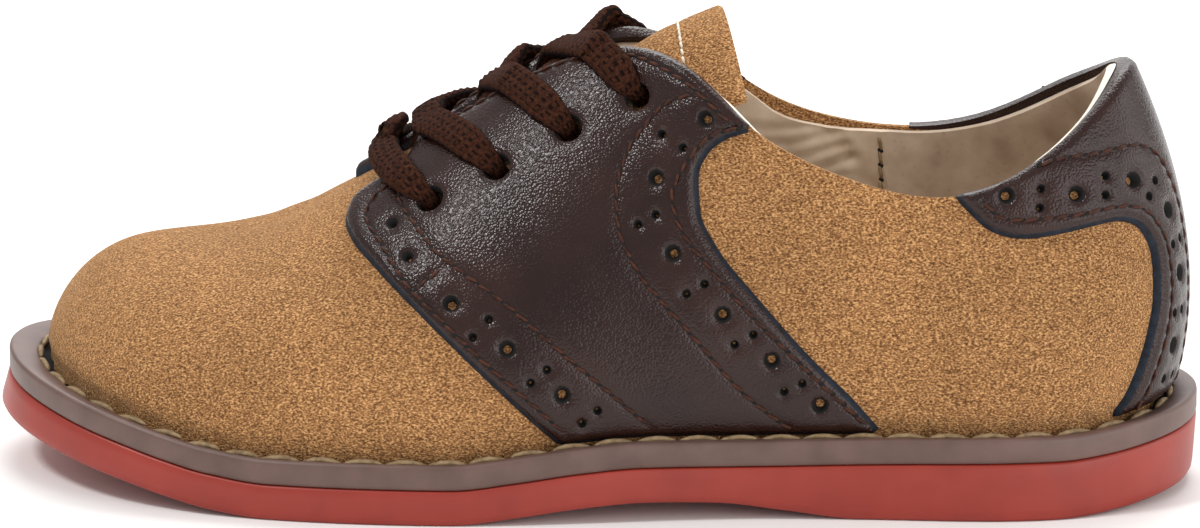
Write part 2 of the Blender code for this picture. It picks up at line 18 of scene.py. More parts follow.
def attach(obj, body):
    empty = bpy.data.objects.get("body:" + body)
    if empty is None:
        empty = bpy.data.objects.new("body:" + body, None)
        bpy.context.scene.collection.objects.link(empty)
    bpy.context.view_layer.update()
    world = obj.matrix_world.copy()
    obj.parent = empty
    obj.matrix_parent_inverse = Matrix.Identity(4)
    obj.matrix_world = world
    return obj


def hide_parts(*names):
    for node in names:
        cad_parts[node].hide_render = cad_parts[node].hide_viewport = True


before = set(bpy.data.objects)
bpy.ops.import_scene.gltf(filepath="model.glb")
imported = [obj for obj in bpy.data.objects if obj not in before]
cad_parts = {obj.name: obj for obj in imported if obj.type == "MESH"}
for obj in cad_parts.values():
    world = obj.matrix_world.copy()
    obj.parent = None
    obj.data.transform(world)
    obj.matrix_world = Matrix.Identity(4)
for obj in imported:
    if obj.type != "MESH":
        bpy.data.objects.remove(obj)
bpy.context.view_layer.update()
print("solids:", sorted(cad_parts))

# %% [markdown]
# ## Camera
# The picture was taken from the outer side of the foot with a long lens, a little above the
# shoe and a little towards the heel. A long lens far away keeps the toe and the heel at the
# same scale, as they are in the picture.

# %% Camera
AZIMUTH, ELEVATION = math.radians(4.5), math.radians(14.4)
DISTANCE, LENS = 1.1, 212.0
LOOK_AT = Vector((0.001, 0.0, 0.0326))
towards_camera = Vector((
    math.sin(AZIMUTH) * math.cos(ELEVATION),
    -math.cos(AZIMUTH) * math.cos(ELEVATION),
    math.sin(ELEVATION),
))
camera_data = bpy.data.cameras.new("camera")
camera_data.lens = LENS
camera_data.sensor_width = 36.0
camera_data.sensor_fit = "HORIZONTAL"
camera_data.clip_start = 0.05
camera = bpy.data.objects.new("camera", camera_data)
camera.location = LOOK_AT + towards_camera * DISTANCE
camera.rotation_euler = (-towards_camera).to_track_quat("-Z", "Y").to_euler()
bpy.context.scene.collection.objects.link(camera)
bpy.context.scene.camera = camera
print("camera at", [round(value, 3) for value in camera.location])

# %% [markdown]
# ## The last
# A shoe is built round a last, a block in the shape of the foot. Here the last is a table of
# stations from the toe to the heel, in millimetres. Each station is a curve that rises from
# the feather edge, where the upper meets the welt, to the top. A place on the last is a pair
# (loop, rise): loop goes round the shoe from the toe tip along the outer side, rise goes up
# the wall from 0 to 1. All leather, suede and stitches are cut in these coordinates, so they
# lie on the foot's shape by themselves.

# %% Tables of the last and the sole
MM = 0.001
# how far the frame's middle is from the tables'
MIDDLE_SHIFT = 1.0
# walls, and the gap between parts that rest on each other
UPPER_WALL, INSOLE_THICKNESS, WELT_THICKNESS, SEAT_GAP = 2.0, 2.4, 3.7, 0.3
# how far the leather's face stands above the suede
LEATHER_TOP = 1.75
# how far the upper rolls in at the feather edge, and up to about which share of its wall
TUCK, TUCK_RISE = 0.8, 0.045
# small steps round and up the last, to find directions
STEP, RISE_STEP = 0.01, 0.005

# x, height of the underside above the floor, thickness of the red rubber
SOLE = np.array([
    (-97, 9.4, 5.5), (-88, 7.2, 5.6), (-80, 5.5, 5.6), (-72, 3.9, 5.6), (-65, 2.3, 5.6),
    (-58, 0.9, 5.6), (-48, 0.0, 5.5), (-20, 0.0, 5.5), (-10, 1.1, 5.5), (0, 2.4, 5.5),
    (9, 3.0, 5.5), (20, 2.7, 5.7), (30, 1.4, 7.0), (42, 0.0, 8.7), (72, 0.0, 9.2),
    (80, 0.5, 9.2), (88, 1.3, 9.2), (96, 2.2, 9.2),
])
# x, how far the sole's lower edge stands out
FLARE = np.array([(-96, 1.6), (-80, 0.9), (-60, 0.2), (70, 0.0), (94, -0.6)])
# feather x, lateral y, medial y, ledge, top x, top half width, lateral z, medial z, ridge y,
# wall out, wall rise, crown out, crown drop
STATIONS = np.array([
    (-87.5, 4.5, 4.5, 6.0, -67.0, 0.0, 35.6, 35.6, 3.0, -0.4, 9.4, 12.0, 0.0),
    (-85.6, -5.6, 14.2, 5.6, -66.2, 0.0, 35.6, 35.6, 3.0, -0.2, 9.8, 12.6, 0.0),
    (-80.9, -14.0, 21.6, 4.7, -64.0, 0.0, 35.7, 35.7, 3.0, 0.1, 10.8, 14.0, 0.0),
    (-73.6, -21.8, 27.6, 3.7, -59.8, 0.0, 36.0, 36.0, 2.9, 0.4, 12.4, 15.6, 0.0),
    (-62.4, -27.9, 31.4, 3.0, -52.6, 0.0, 37.5, 37.5, 2.7, 0.5, 14.0, 17.0, 0.0),
    (-48.0, -31.6, 33.0, 2.7, -44.5, 0.0, 41.5, 41.5, 2.4, 0.7, 16.0, 17.5, 0.0),
    (-34.0, -33.1, 32.1, 2.6, -34.5, 0.0, 47.4, 47.4, 2.0, 0.8, 18.0, 16.0, 0.8),
    (-20.0, -32.8, 29.5, 2.8, -21.0, 3.5, 55.8, 55.8, 1.7, 0.9, 20.0, 12.0, 2.0),
    (-6.0, -30.6, 26.0, 3.3, -8.0, 5.5, 63.9, 63.9, 1.5, 1.0, 22.0, 9.0, 4.0),
    (7.0, -28.1, 23.5, 3.4, 3.6, 7.5, 68.2, 67.7, 1.3, 1.2, 22.0, 7.5, 6.0),
    (19.0, -25.9, 22.2, 3.4, 14.5, 15.0, 67.2, 63.4, 1.1, 1.6, 20.0, 6.0, 12.0),
    (30.0, -24.5, 22.0, 3.4, 24.6, 20.0, 59.2, 55.8, 1.0, 2.0, 17.0, 4.0, 14.0),
    (41.0, -24.0, 22.8, 3.3, 37.0, 21.3, 52.8, 51.4, 0.9, 2.2, 14.0, 2.5, 13.0),
    (52.0, -24.3, 24.2, 2.9, 50.0, 20.8, 49.3, 50.8, 0.9, 2.2, 13.0, 2.5, 12.0),
    (63.0, -24.0, 24.8, 2.8, 61.0, 19.0, 50.4, 53.8, 0.9, 2.6, 13.0, 3.0, 12.0),
    (73.6, -21.2, 22.6, 3.2, 70.0, 15.0, 55.3, 59.0, 0.9, 3.4, 15.0, 5.0, 13.0),
    (81.3, -15.8, 17.4, 3.8, 76.4, 10.0, 61.0, 62.9, 0.9, 4.2, 16.0, 6.5, 15.0),
    (86.2, -8.2, 9.8, 4.7, 79.6, 4.8, 64.8, 65.3, 0.9, 4.7, 17.0, 7.6, 17.0),
    (87.8, 0.9, 0.9, 5.2, 80.6, 0.0, 65.9, 65.9, 0.9, 4.8, 17.0, 8.0, 17.0),
])
(FEATHER_X, LATERAL_Y, MEDIAL_Y, LEDGE, TOP_X, TOP_HALF, LATERAL_Z, MEDIAL_Z, RIDGE_Y,
 WALL_OUT, WALL_RISE, CROWN_OUT, CROWN_DROP) = range(13)
THROAT = 6
HALF_LOOP = len(STATIONS) - 1
LOOP = 2 * HALF_LOOP
print("stations:", len(STATIONS))

# %% Curves through tables
def smooth_loop(lateral, at, medial=None):
    """A closed cubic spline through a table column, round the shoe and back."""
    medial = lateral if medial is None else medial
    values = np.concatenate([STATIONS[:, lateral], STATIONS[-2:0:-1, medial]])
    count = len(values)
    neighbours = np.roll(np.eye(count), 1, 1) + np.roll(np.eye(count), -1, 1)
    turns = 6.0 * (np.roll(values, 1) - 2.0 * values + np.roll(values, -1))
    bend = np.linalg.solve(4.0 * np.eye(count) + neighbours, turns)
    low = np.floor(at).astype(int)
    after = at - low
    before = 1.0 - after
    here, there = low % count, (low + 1) % count
    line = before * values[here] + after * values[there]
    return line + ((before**3 - before) * bend[here] + (after**3 - after) * bend[there]) / 6.0


def steady_curve(places, values, at):
    """A smooth curve through a table that never swings past the table's own values."""
    places, values, at = (np.asarray(a, float) for a in (places, values, at))
    gaps = np.diff(places)
    rates = np.diff(values) / gaps
    slopes = np.zeros(len(values))
    same_way = rates[:-1] * rates[1:] > 0
    total = np.where(same_way, rates[:-1] + rates[1:], 1.0)
    slopes[1:-1] = np.where(same_way, 2.0 * rates[:-1] * rates[1:] / total, 0.0)
    slopes[0], slopes[-1] = rates[0], rates[-1]
    low = np.clip(np.searchsorted(places, at) - 1, 0, len(gaps) - 1)
    share = np.clip((at - places[low]) / gaps[low], 0.0, 1.0)
    rise = share * share * (3.0 - 2.0 * share)
    leave = share * (1.0 - share) ** 2 * gaps[low] * slopes[low]
    arrive = share**2 * (share - 1.0) * gaps[low] * slopes[low + 1]
    return values[low] + (values[low + 1] - values[low]) * rise + leave + arrive


def ground_height(x):
    return steady_curve(SOLE[:, 0], SOLE[:, 1], x)


def rubber_top(x):
    return ground_height(x) + steady_curve(SOLE[:, 0], SOLE[:, 2], x)


def welt_top(x):
    return rubber_top(x) + SEAT_GAP + WELT_THICKNESS


# %% Tools for lines
def unit(vectors):
    """The same directions with length one."""
    return vectors / np.linalg.norm(vectors, axis=-1, keepdims=True)


def way_along(points):
    """The distance travelled at each point of a line, or of each line in a stack."""
    way = np.cumsum(np.linalg.norm(np.diff(points, axis=-2), axis=-1), axis=-1)
    return np.concatenate([np.zeros(way.shape[:-1] + (1,)), way], axis=-1)


def along_line(rows, count):
    """Points at even shares of a table of rows, straight from row to row."""
    rows = np.asarray(rows, float)
    at = np.linspace(0.0, len(rows) - 1.0, count)
    return np.stack([np.interp(at, np.arange(len(rows)), column) for column in rows.T], -1)


def bell(away, half_width):
    """A smooth hump of height one."""
    return np.exp(-((away / half_width) ** 2))


def ramp(values, start, end):
    """0 up to the start, 1 from the end on and straight between."""
    return np.clip((values - start) / (end - start), 0.0, 1.0)


# %% The surface of the last
def feather_edge(loop):
    return smooth_loop(FEATHER_X, loop), smooth_loop(LATERAL_Y, loop, MEDIAL_Y)


def last_point(loop, rise):
    """The upper's outer surface: points at places (loop, rise)."""
    loop, rise = np.broadcast_arrays(np.asarray(loop, float), np.asarray(rise, float))
    foot_x, foot_y = feather_edge(loop)
    foot_z = welt_top(foot_x) + SEAT_GAP
    half = STATIONS[:, TOP_HALF]
    signed = np.concatenate([-half, half[-2:0:-1], [0.0]])
    top_x = smooth_loop(TOP_X, loop)
    top_y = smooth_loop(RIDGE_Y, loop) + steady_curve(range(LOOP + 1), signed, loop % LOOP)
    top_z = smooth_loop(LATERAL_Z, loop, MEDIAL_Z)
    out_x, out_y = foot_x - top_x, foot_y - top_y
    reach = np.hypot(out_x, out_y)
    foot, wall = (1.0 - rise) ** 3, 3.0 * (1.0 - rise) ** 2 * rise
    crown, top = 3.0 * (1.0 - rise) * rise**2, rise**3
    outwards = (wall * smooth_loop(WALL_OUT, loop) + crown * smooth_loop(CROWN_OUT, loop)) / reach
    x = (foot + wall) * foot_x + (crown + top) * top_x + outwards * out_x
    y = (foot + wall) * foot_y + (crown + top) * top_y + outwards * out_y
    wall_z = foot_z + smooth_loop(WALL_RISE, loop)
    crown_z = top_z - smooth_loop(CROWN_DROP, loop)
    z = foot * foot_z + wall * wall_z + crown * crown_z + top * top_z
    return np.stack([x, y, z], -1)


def last_normal(loop, rise):
    """The surface's outward direction, kept a little off the feather edge and the top."""
    rise = np.clip(rise, 0.02, 0.97)
    along = last_point(loop + STEP, rise) - last_point(loop - STEP, rise)
    upward = last_point(loop, rise + STEP) - last_point(loop, rise - STEP)
    return unit(np.cross(along, upward))


def lifted(loop, rise, lift):
    loop, rise, lift = np.broadcast_arrays(*(np.asarray(a, float) for a in (loop, rise, lift)))
    return last_point(loop, rise) + lift[..., None] * last_normal(loop, rise)


def on_upper(loop, rise, lift):
    """A place on the finished upper, which rolls in under itself just above the welt."""
    return lifted(loop, rise, np.asarray(lift) - TUCK * bell(np.asarray(rise), TUCK_RISE))


def wall_length(loop):
    """How long the wall is from the feather edge to the top."""
    return way_along(last_point(np.asarray(loop, float)[..., None], np.linspace(0.0, 1.0, 41)))[..., -1]


print("length of the wall at the heel: %.1f mm" % wall_length(float(HALF_LOOP)))

# %% [markdown]
# ## Small helpers
# One function turns a hex colour to linear light, one adds a shader node, one makes a mesh and
# ties it to the frame. Everything rides on the single body of the shoe, because nothing moves.

# %% Helpers for colours and nodes
def linear(hex_colour):
    """An sRGB hex colour as linear red, green, blue and alpha."""
    parts = [int(hex_colour[start:start + 2], 16) / 255.0 for start in (1, 3, 5)]
    parts = [c / 12.92 if c <= 0.04045 else ((c + 0.055) / 1.055) ** 2.4 for c in parts]
    return (*parts, 1.0)


def per_mm(size):
    """The scale of a pattern whose features are this many millimetres apart."""
    return 1.0 / (size * MM)


def node(tree, kind, settings=None, links=None):
    """One shader node with its settings and with the sockets that feed it."""
    made = tree.nodes.new(kind)
    for name, value in (settings or {}).items():
        if isinstance(name, str) and hasattr(made, name):
            setattr(made, name, value)
        else:
            made.inputs[name].default_value = value
    for name, source in (links or {}).items():
        tree.links.new(source, made.inputs[name])
    return made


def new_finish(name, **settings):
    """A material with its Principled shader's plain sockets set; returns both and the coordinates."""
    made = bpy.data.materials.new(name)
    made.use_nodes = True
    tree = made.node_tree
    shader = tree.nodes["Principled BSDF"]
    for socket, value in settings.items():
        shader.inputs[socket.replace("_", " ").title().replace("Ior", "IOR")].default_value = value
    coordinates = node(tree, "ShaderNodeTexCoord").outputs["Object"]
    return made, tree, shader, coordinates


# %% Helpers for meshes
def add_piece(name, points, faces, finishes, slot, nodes=(), finish_of=None, sharp=40.0):
    """A mesh from points in millimetres that rides on the shoe and stands for the named solids."""
    mesh = bpy.data.meshes.new(name)
    shifted = (np.asarray(points, float).reshape(-1, 3) + (MIDDLE_SHIFT, 0.0, 0.0)) * MM
    mesh.from_pydata(shifted.tolist(), [], [list(map(int, face)) for face in faces])
    for finish in finishes:
        mesh.materials.append(finish)
    if finish_of is not None:
        mesh.polygons.foreach_set("material_index", np.asarray(finish_of, np.int32))
    mesh.shade_smooth()
    mesh.set_sharp_from_angle(angle=math.radians(sharp))
    made = bpy.data.objects.new(name, mesh)
    bpy.context.scene.collection.objects.link(made)
    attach(made, "root")
    if nodes:
        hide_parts(*nodes)
    print(f"{name}: {len(mesh.vertices)} points, {len(mesh.polygons)} faces")


def grid_faces(rows, columns, closed=False):
    """Quads of a grid of points stored row by row; closed joins the last column to the first."""
    row = np.arange(rows - 1)[:, None] * columns
    place = np.arange(columns if closed else columns - 1)[None, :]
    after = (place + 1) % columns
    quads = np.stack([row + place, row + after, row + columns + after, row + columns + place], -1)
    return quads.reshape(-1, 4)


def strip(first, second):
    """Quads between two closed rows of point numbers."""
    return np.stack([first, second, np.roll(second, -1), np.roll(first, -1)], 1)


def nearest(points, others):
    """The distance from each point to the nearest of the others."""
    flat = np.asarray(points).reshape(-1, others.shape[1])
    found, at_once = np.empty(len(flat)), 2000
    for start in range(0, len(flat), at_once):
        block = flat[start:start + at_once]
        square = (block**2).sum(1)[:, None] + (others**2).sum(1)[None, :] - 2.0 * block @ others.T
        found[start:start + at_once] = np.sqrt(np.maximum(square.min(1), 0.0))
    return found.reshape(np.asarray(points).shape[:-1])


# %% Helpers for finishes
def noise(tree, place, size, detail, **more):
    """Noise with features this many millimetres apart, as a socket."""
    settings = {"Scale": per_mm(size), "Detail": detail, **more}
    return node(tree, "ShaderNodeTexNoise", settings, {"Vector": place}).outputs[0]


def two_tones(tree, source, dark, light, low=0.3, high=0.7):
    """A ramp from a dark to a light hex colour."""
    made = node(tree, "ShaderNodeValToRGB", None, {"Fac": source})
    first, last = made.color_ramp.elements
    first.position, first.color = low, linear(dark)
    last.position, last.color = high, linear(light)
    return made


def multiplied(tree, colour, shade):
    """A colour times a shade, as a socket."""
    settings = {"data_type": "RGBA", "blend_type": "MULTIPLY", 0: 1.0}
    return node(tree, "ShaderNodeMix", settings, {6: colour, 7: shade}).outputs[2]


def added(tree, height, share, other):
    """A share of one height added to another, as a socket."""
    settings = {"operation": "MULTIPLY_ADD", 1: share}
    return node(tree, "ShaderNodeMath", settings, {0: height, 2: other}).outputs[0]


def dress(tree, shader, colour, height, strength, depth, **more):
    """Gives a shader its colour and a bump of this depth in millimetres."""
    settings = {"Strength": strength, "Distance": depth * MM, **more}
    bump = node(tree, "ShaderNodeBump", settings, {"Height": height})
    tree.links.new(colour, shader.inputs["Base Color"])
    tree.links.new(bump.outputs[0], shader.inputs["Normal"])


# %% [markdown]
# ## Suede
# Dirty-buck suede is split cowhide, buffed until short fibres stand up in a nap. The eye sees
# a fine salt and pepper of lit fibre tips and dark pits, broad patches where a hand has brushed
# the nap another way, and a soft glow at grazing angles. Noise at three real sizes gives the
# patches and the pits, a bump raises the fibres, and sheen gives the glow.

# %% Suede finish
def make_suede(name, light, middle, dark):
    made, tree, shader, place = new_finish(
        name, roughness=0.92, specular_ior_level=0.15, sheen_weight=0.28, sheen_roughness=0.45,
        sheen_tint=linear("#E6C9A0"),
    )
    # the nap is brushed along the shoe, so the specks are longer that way
    brushed = node(tree, "ShaderNodeMapping", {"Scale": (0.62, 1.0, 1.0)}, {"Vector": place})
    patches, clumps = noise(tree, place, 26.0, 3.0), noise(tree, place, 2.4, 4.0)
    # real fibres are too fine to show, so they are drawn a quarter of a millimetre apart
    fibres = noise(tree, brushed.outputs[0], 0.25, 1.5, Roughness=0.55)
    tone = two_tones(tree, fibres, dark, light, 0.30, 0.72)
    tone.color_ramp.elements.new(0.50).color = linear(middle)
    wide = node(
        tree, "ShaderNodeMapRange",
        {"From Min": 0.35, "From Max": 0.65, "To Min": 0.90, "To Max": 1.08}, {"Value": patches},
    )
    colour = multiplied(tree, tone.outputs[0], wide.outputs[0])
    dress(tree, shader, colour, added(tree, clumps, 0.35, fibres), 0.8, 0.5)
    return made


tan_suede = make_suede("tan buffed suede", "#DDAA73", "#996C43", "#573820")
print("finish:", tan_suede.name)

# %% [markdown]
# ## Leather, cut edges and thread
# The saddle and the backstay are chrome-tanned cowhide, drum-dyed dark brown and plated to a
# fine pebble grain. Light breaks into small sparks on the pebbles, so the grain is a bump from
# cells 0.38 mm wide, with creases of about 2 mm that vary the gloss. The cut edge is inked
# blue-black and stays matt. Threads are spun, so their tone wanders along them. A near-black
# finish is painted shade: it darkens the needle holes, the walls of the punched holes and the
# welt's channel.

# %% Leather finishes
def make_leather():
    made, tree, shader, place = new_finish("dark brown pebbled leather", specular_ior_level=0.34)
    cells = node(
        tree, "ShaderNodeTexVoronoi", {"feature": "SMOOTH_F1", "Scale": per_mm(0.38), "Smoothness": 0.35},
        {"Vector": place},
    )
    creases, cloud = noise(tree, place, 2.2, 5.0), noise(tree, place, 14.0, 2.0)
    gloss = node(tree, "ShaderNodeMapRange", {"To Min": 0.20, "To Max": 0.31}, {"Value": creases})
    tree.links.new(gloss.outputs[0], shader.inputs["Roughness"])
    tone = two_tones(tree, cloud, "#200F0C", "#301B16", 0.3, 0.75)
    height = added(tree, creases, 0.06, cells.outputs[0])
    dress(tree, shader, tone.outputs[0], height, 0.9, 0.085, invert=True)
    return made


def make_mottled(name, dark, light, size, roughness, bump_mm, **settings):
    """A finish whose colour wanders between two tones and whose surface is slightly uneven."""
    made, tree, shader, place = new_finish(name, roughness=roughness, **settings)
    cloud = noise(tree, place, size, 4.0)
    dress(tree, shader, two_tones(tree, cloud, dark, light).outputs[0], cloud, 0.6, bump_mm)
    return made


SATIN, DULL = {"specular_ior_level": 0.25}, {"specular_ior_level": 0.1}
brown_leather = make_leather()
inked_edge = make_mottled("inked leather edge", "#10141B", "#202936", 1.2, 0.62, 0.15, **SATIN)
# painted shade: near black, for the needle holes, the walls of the punched holes and the welt's channel
hole_and_channel_shade = make_mottled("painted shade in holes and channel", "#050403", "#0C0908", 1.2, 0.9, 0.1)
rust_thread = make_mottled("rust polyester thread", "#24100A", "#4E2A1A", 0.9, 0.6, 0.12, **SATIN)
white_thread = make_mottled("white cotton thread", "#D9CCB6", "#F2EADC", 0.9, 0.8, 0.12)
welt_thread = make_mottled("waxed linen thread", "#6B5538", "#9C8360", 1.1, 0.7, 0.2)
print("finishes:", brown_leather.name, inked_edge.name, rust_thread.name)

# %% [markdown]
# ## Lining, rubber and cotton
# Inside, the quarters are lined with thin beige calf that creases, and the heel with pigskin,
# which shows pores in small groups. Its raw edge is nearly white. The sole is moulded rubber
# with a satin skin: brick red below, a mauve brown strip above. The lace is braided from dull
# cotton yarn, and a near-black painted shade fills the gaps between its strands.

# %% Lining, rubber and cotton finishes
def make_pigskin():
    made, tree, shader, place = new_finish("beige pigskin lining", roughness=0.75, sheen_weight=0.1)
    pores = node(
        tree, "ShaderNodeTexVoronoi", {"feature": "F1", "Scale": per_mm(1.5), "Randomness": 0.9},
        {"Vector": place},
    )
    tone = two_tones(tree, noise(tree, place, 6.0, 5.0), "#A8917A", "#CDB9A2", 0.3, 0.68)
    dots = node(
        tree, "ShaderNodeMapRange",
        {"From Min": 0.08, "From Max": 0.22, "To Min": 0.86, "To Max": 1.0}, {"Value": pores.outputs[0]},
    ).outputs[0]
    dress(tree, shader, multiplied(tree, tone.outputs[0], dots), dots, 0.5, 0.15)
    return made


pigskin = make_pigskin()
calf_lining = make_mottled("beige calf lining", "#B59C82", "#CDB89F", 5.0, 0.62, 0.3, sheen_weight=0.1)
raw_edge = make_mottled("raw lining edge", "#E2D6C4", "#F6EFE4", 1.5, 0.85, 0.2)
red_rubber = make_mottled("brick red moulded rubber", "#8A271A", "#993022", 9.0, 0.42, 0.12)
brown_rubber = make_mottled("mauve brown moulded rubber", "#574039", "#6B524A", 7.0, 0.45, 0.12)
brown_cotton = make_mottled("brown braided cotton", "#1F0E09", "#462719", 0.5, 0.95, 0.3, **DULL)
# painted shade for the gaps between the lace's strands
braid_gap_shade = make_mottled("painted shade between strands", "#0D0503", "#1C0D08", 0.5, 0.95, 0.2, **DULL)
print("finishes:", pigskin.name, calf_lining.name, red_rubber.name, brown_cotton.name)

# %% [markdown]
# ## The suede upper
# The upper is one skin drawn over the last. Suede is soft, so a few shallow troughs are placed
# where a worn-in quarter and vamp give way, and the skin is drawn in a little between
# the stitches at the welt. Holes are left for the lace.

# %% Eyelets
# x and distance from the facing's edge
EYELETS = ((-24.4, 16.7), (-14.3, 15.1), (-3.5, 12.6), (7.2, 8.3))
EYELET_RADIUS = 2.3


def facing_place(x, from_edge):
    """The place on the lateral facing at this x and this far down from the facing's edge."""
    places = np.linspace(THROAT + 0.2, THROAT + 4.0, 160)
    rises = np.linspace(1.0, 0.5, 120)
    down = way_along(last_point(places[:, None], rises[None, :]))
    rise_at = np.array([np.interp(from_edge, row, rises) for row in down])
    place = np.interp(x, last_point(places, rise_at)[:, 0], places)
    return place, np.interp(place, places, rise_at)


eyelet_places = []
for eyelet in EYELETS:
    loop, rise = facing_place(*eyelet)
    eyelet_places += [(loop, rise), (LOOP - loop, rise)]
eyelet_points = np.array([last_point(*place) for place in eyelet_places])

# %% Troughs and holes
# Troughs in the suede as lines of places, with their half width and depth in millimetres.
TROUGHS = (
    (((12.0, 0.78), (12.9, 0.66), (13.6, 0.60)), 3.0, 0.30),
    (((12.6, 0.40), (13.3, 0.32), (14.2, 0.30)), 3.5, 0.25),
    (((14.6, 0.62), (15.3, 0.45), (15.6, 0.28)), 3.0, 0.25),
    (((4.9, 0.98), (5.0, 0.75), (5.25, 0.52)), 3.2, 0.25),
    (((4.3, 0.97), (4.35, 0.78), (4.6, 0.60)), 2.6, 0.18),
)


def trough_depth(points, mirrored):
    """How far the skin sinks at each point."""
    sunk = np.zeros(points.shape[:-1])
    for line, half_width, depth in TROUGHS:
        loops, rises = along_line(line, 40).T
        path = last_point(LOOP - loops if mirrored else loops, rises)
        sunk += depth * bell(nearest(points, path), half_width)
    return sunk


def open_holes(points, faces, centres, radius):
    """Leaves out the faces inside each round hole and draws the hole's edge to a circle."""
    away = np.stack([np.linalg.norm(points - centre, axis=1) for centre in centres], 1)
    inside = away.min(1) < radius
    kept = faces[~inside[faces].any(1)]
    edge_points = np.unique(faces[inside[faces].any(1)])
    for place in edge_points[~inside[edge_points]]:
        hole = away[place].argmin()
        centre = centres[hole]
        points[place] = centre + (points[place] - centre) * radius / away[place, hole]
    return points, kept


# %% Tools for skins
PER_STATION = 16
loops = np.arange(LOOP * PER_STATION) / PER_STATION
columns = len(loops)
closed_top = (loops < THROAT) | (loops > LOOP - THROAT)


def skin_faces(rows, top_row, rim_row):
    """Faces of a skin; before the throat its two rim rows are left out and its top row is one ridge."""
    faces = grid_faces(rows, columns, closed=True)
    left_out = np.zeros(rows * columns, bool)
    left_out[rim_row * columns:(rim_row + 2) * columns] = np.tile(closed_top, 2)
    faces = faces[~left_out[faces].any(1)]
    merged = np.arange(rows * columns)
    for place in range(1, THROAT * PER_STATION + 1):
        merged[(top_row + 1) * columns - place] = top_row * columns + place
    return merged[faces]


def only_used(points, faces):
    """Points and faces without the points that no face has."""
    used, numbered = np.unique(faces, return_inverse=True)
    return points[used], numbered.reshape(faces.shape)


# %% Upper
UPPER_ROWS = 64
SKIN = 0.95
WELT_STITCH = 6.4
# how deep the skin is drawn in between the welt's stitches, and up to about which rise
PUCKER, PUCKER_RISE = 0.22, 0.03
# how far the skin goes on below the feather edge, and down inside the collar
UNDER_WELT, FOLDED_IN = 1.6, 5.0

rises = np.linspace(0.0, 1.0, UPPER_ROWS + 1)
outer = on_upper(loops[None, :], rises[:, None], 0.0)
round_loops = np.append(loops, LOOP)
feather_way = way_along(last_point(round_loops, 0.0))
stitch_count = round(feather_way[-1] / WELT_STITCH)
pucker = np.cos(feather_way[:-1] / feather_way[-1] * 2.0 * math.pi * stitch_count)
sink = trough_depth(outer, False) + trough_depth(outer, True)
sink += PUCKER * pucker[None, :] * np.exp(-rises[:, None] / PUCKER_RISE)
outer = outer - sink[..., None] * last_normal(loops[None, :], rises[:, None])
tucked = outer[0] - (0.0, 0.0, UNDER_WELT)
rim = lifted(loops, 1.0, -SKIN)
inside_rim = lifted(loops, 1.0 - FOLDED_IN / wall_length(loops), -SKIN)
upper_points = np.concatenate([tucked[None], outer, rim[None], inside_rim[None]]).reshape(-1, 3)
upper_faces = skin_faces(UPPER_ROWS + 4, UPPER_ROWS + 1, UPPER_ROWS + 2)
upper_points, upper_faces = open_holes(upper_points, upper_faces, eyelet_points, EYELET_RADIUS + 0.25)
add_piece("upper_suede", *only_used(upper_points, upper_faces), [tan_suede], "tan_suede", ["upper"])

# %% [markdown]
# ## The lining
# The lining follows the upper two millimetres further in. On the outer side its raw edge comes
# up flush with the collar; on the inner side it was trimmed lower, so a strip of the upper's
# own edge shows above it. The thin quarter lining lies in slanting creases, and a sewn step
# divides it from the heel's pigskin.

# %% Lining tables
LINING_ROWS = 84
# how far in the lining's edge starts, and the rise where the lining ends below
LINING_EDGE, LINING_FOOT = 1.15, 0.03
# where the quarter lining meets the pigskin, the step there and how soft it is
SEAM_X, SEAM_STEP, SEAM_SOFT = 43.6, 0.45, 0.12
# how far the padded heel stands in, where along the shoe it starts and how deep it reaches
PADDING, PADDING_X, PADDING_DEPTH = 0.7, 60.0, 6.0
# x along the shoe and how far the lining's edge is below the collar on the medial side
TRIMMED = np.array([
    (10, 2.6), (24, 2.8), (34, 1.6), (44, 0.6), (55, 0.8), (68, 1.5), (77, 1.2), (80.6, -0.1),
])
# the same on the lateral side, where the edge stands a little proud of the facing and the heel
PROUD = np.array([
    (-34, 0.4), (19, 0.4), (21.5, -0.15), (24, -0.15), (26, 0.4), (65, 0.5), (69, -0.1), (80.6, -0.2),
])
# creases as lines of x and z on the lining, with their half width and depth
LINING_CREASES = (
    ((20, 50.6), (26, 50.0), (33, 50.6), 0.9, 0.40),
    ((21, 48.2), (28, 47.7), (36, 49.6), 1.0, 0.50),
    ((22, 45.8), (29, 45.2), (37, 47.8), 0.9, 0.45),
    ((24, 43.4), (31, 43.0), (38, 45.6), 1.0, 0.45),
    ((26, 41.2), (33, 41.0), (37, 42.8), 0.9, 0.35),
    ((37, 47.0), (39, 43.0), (42.5, 39.5), 1.1, 0.30),
)


def lining_relief(points):
    """The creases of the quarter lining and the step at its seam."""
    relief = np.zeros(points.shape[:-1])
    for *line, half_width, depth in LINING_CREASES:
        away = nearest(points[..., [0, 2]], along_line(line, 60))
        # each crease stands up and has a shallower hollow beside it
        relief += depth * bell(away, half_width)
        relief -= 0.4 * depth * bell(away - 1.6 * half_width, half_width)
    quarter = 1.0 / (1.0 + np.exp((points[..., 0] - SEAM_X) / SEAM_SOFT))
    return relief * (points[..., 0] < SEAM_X) - SEAM_STEP * quarter


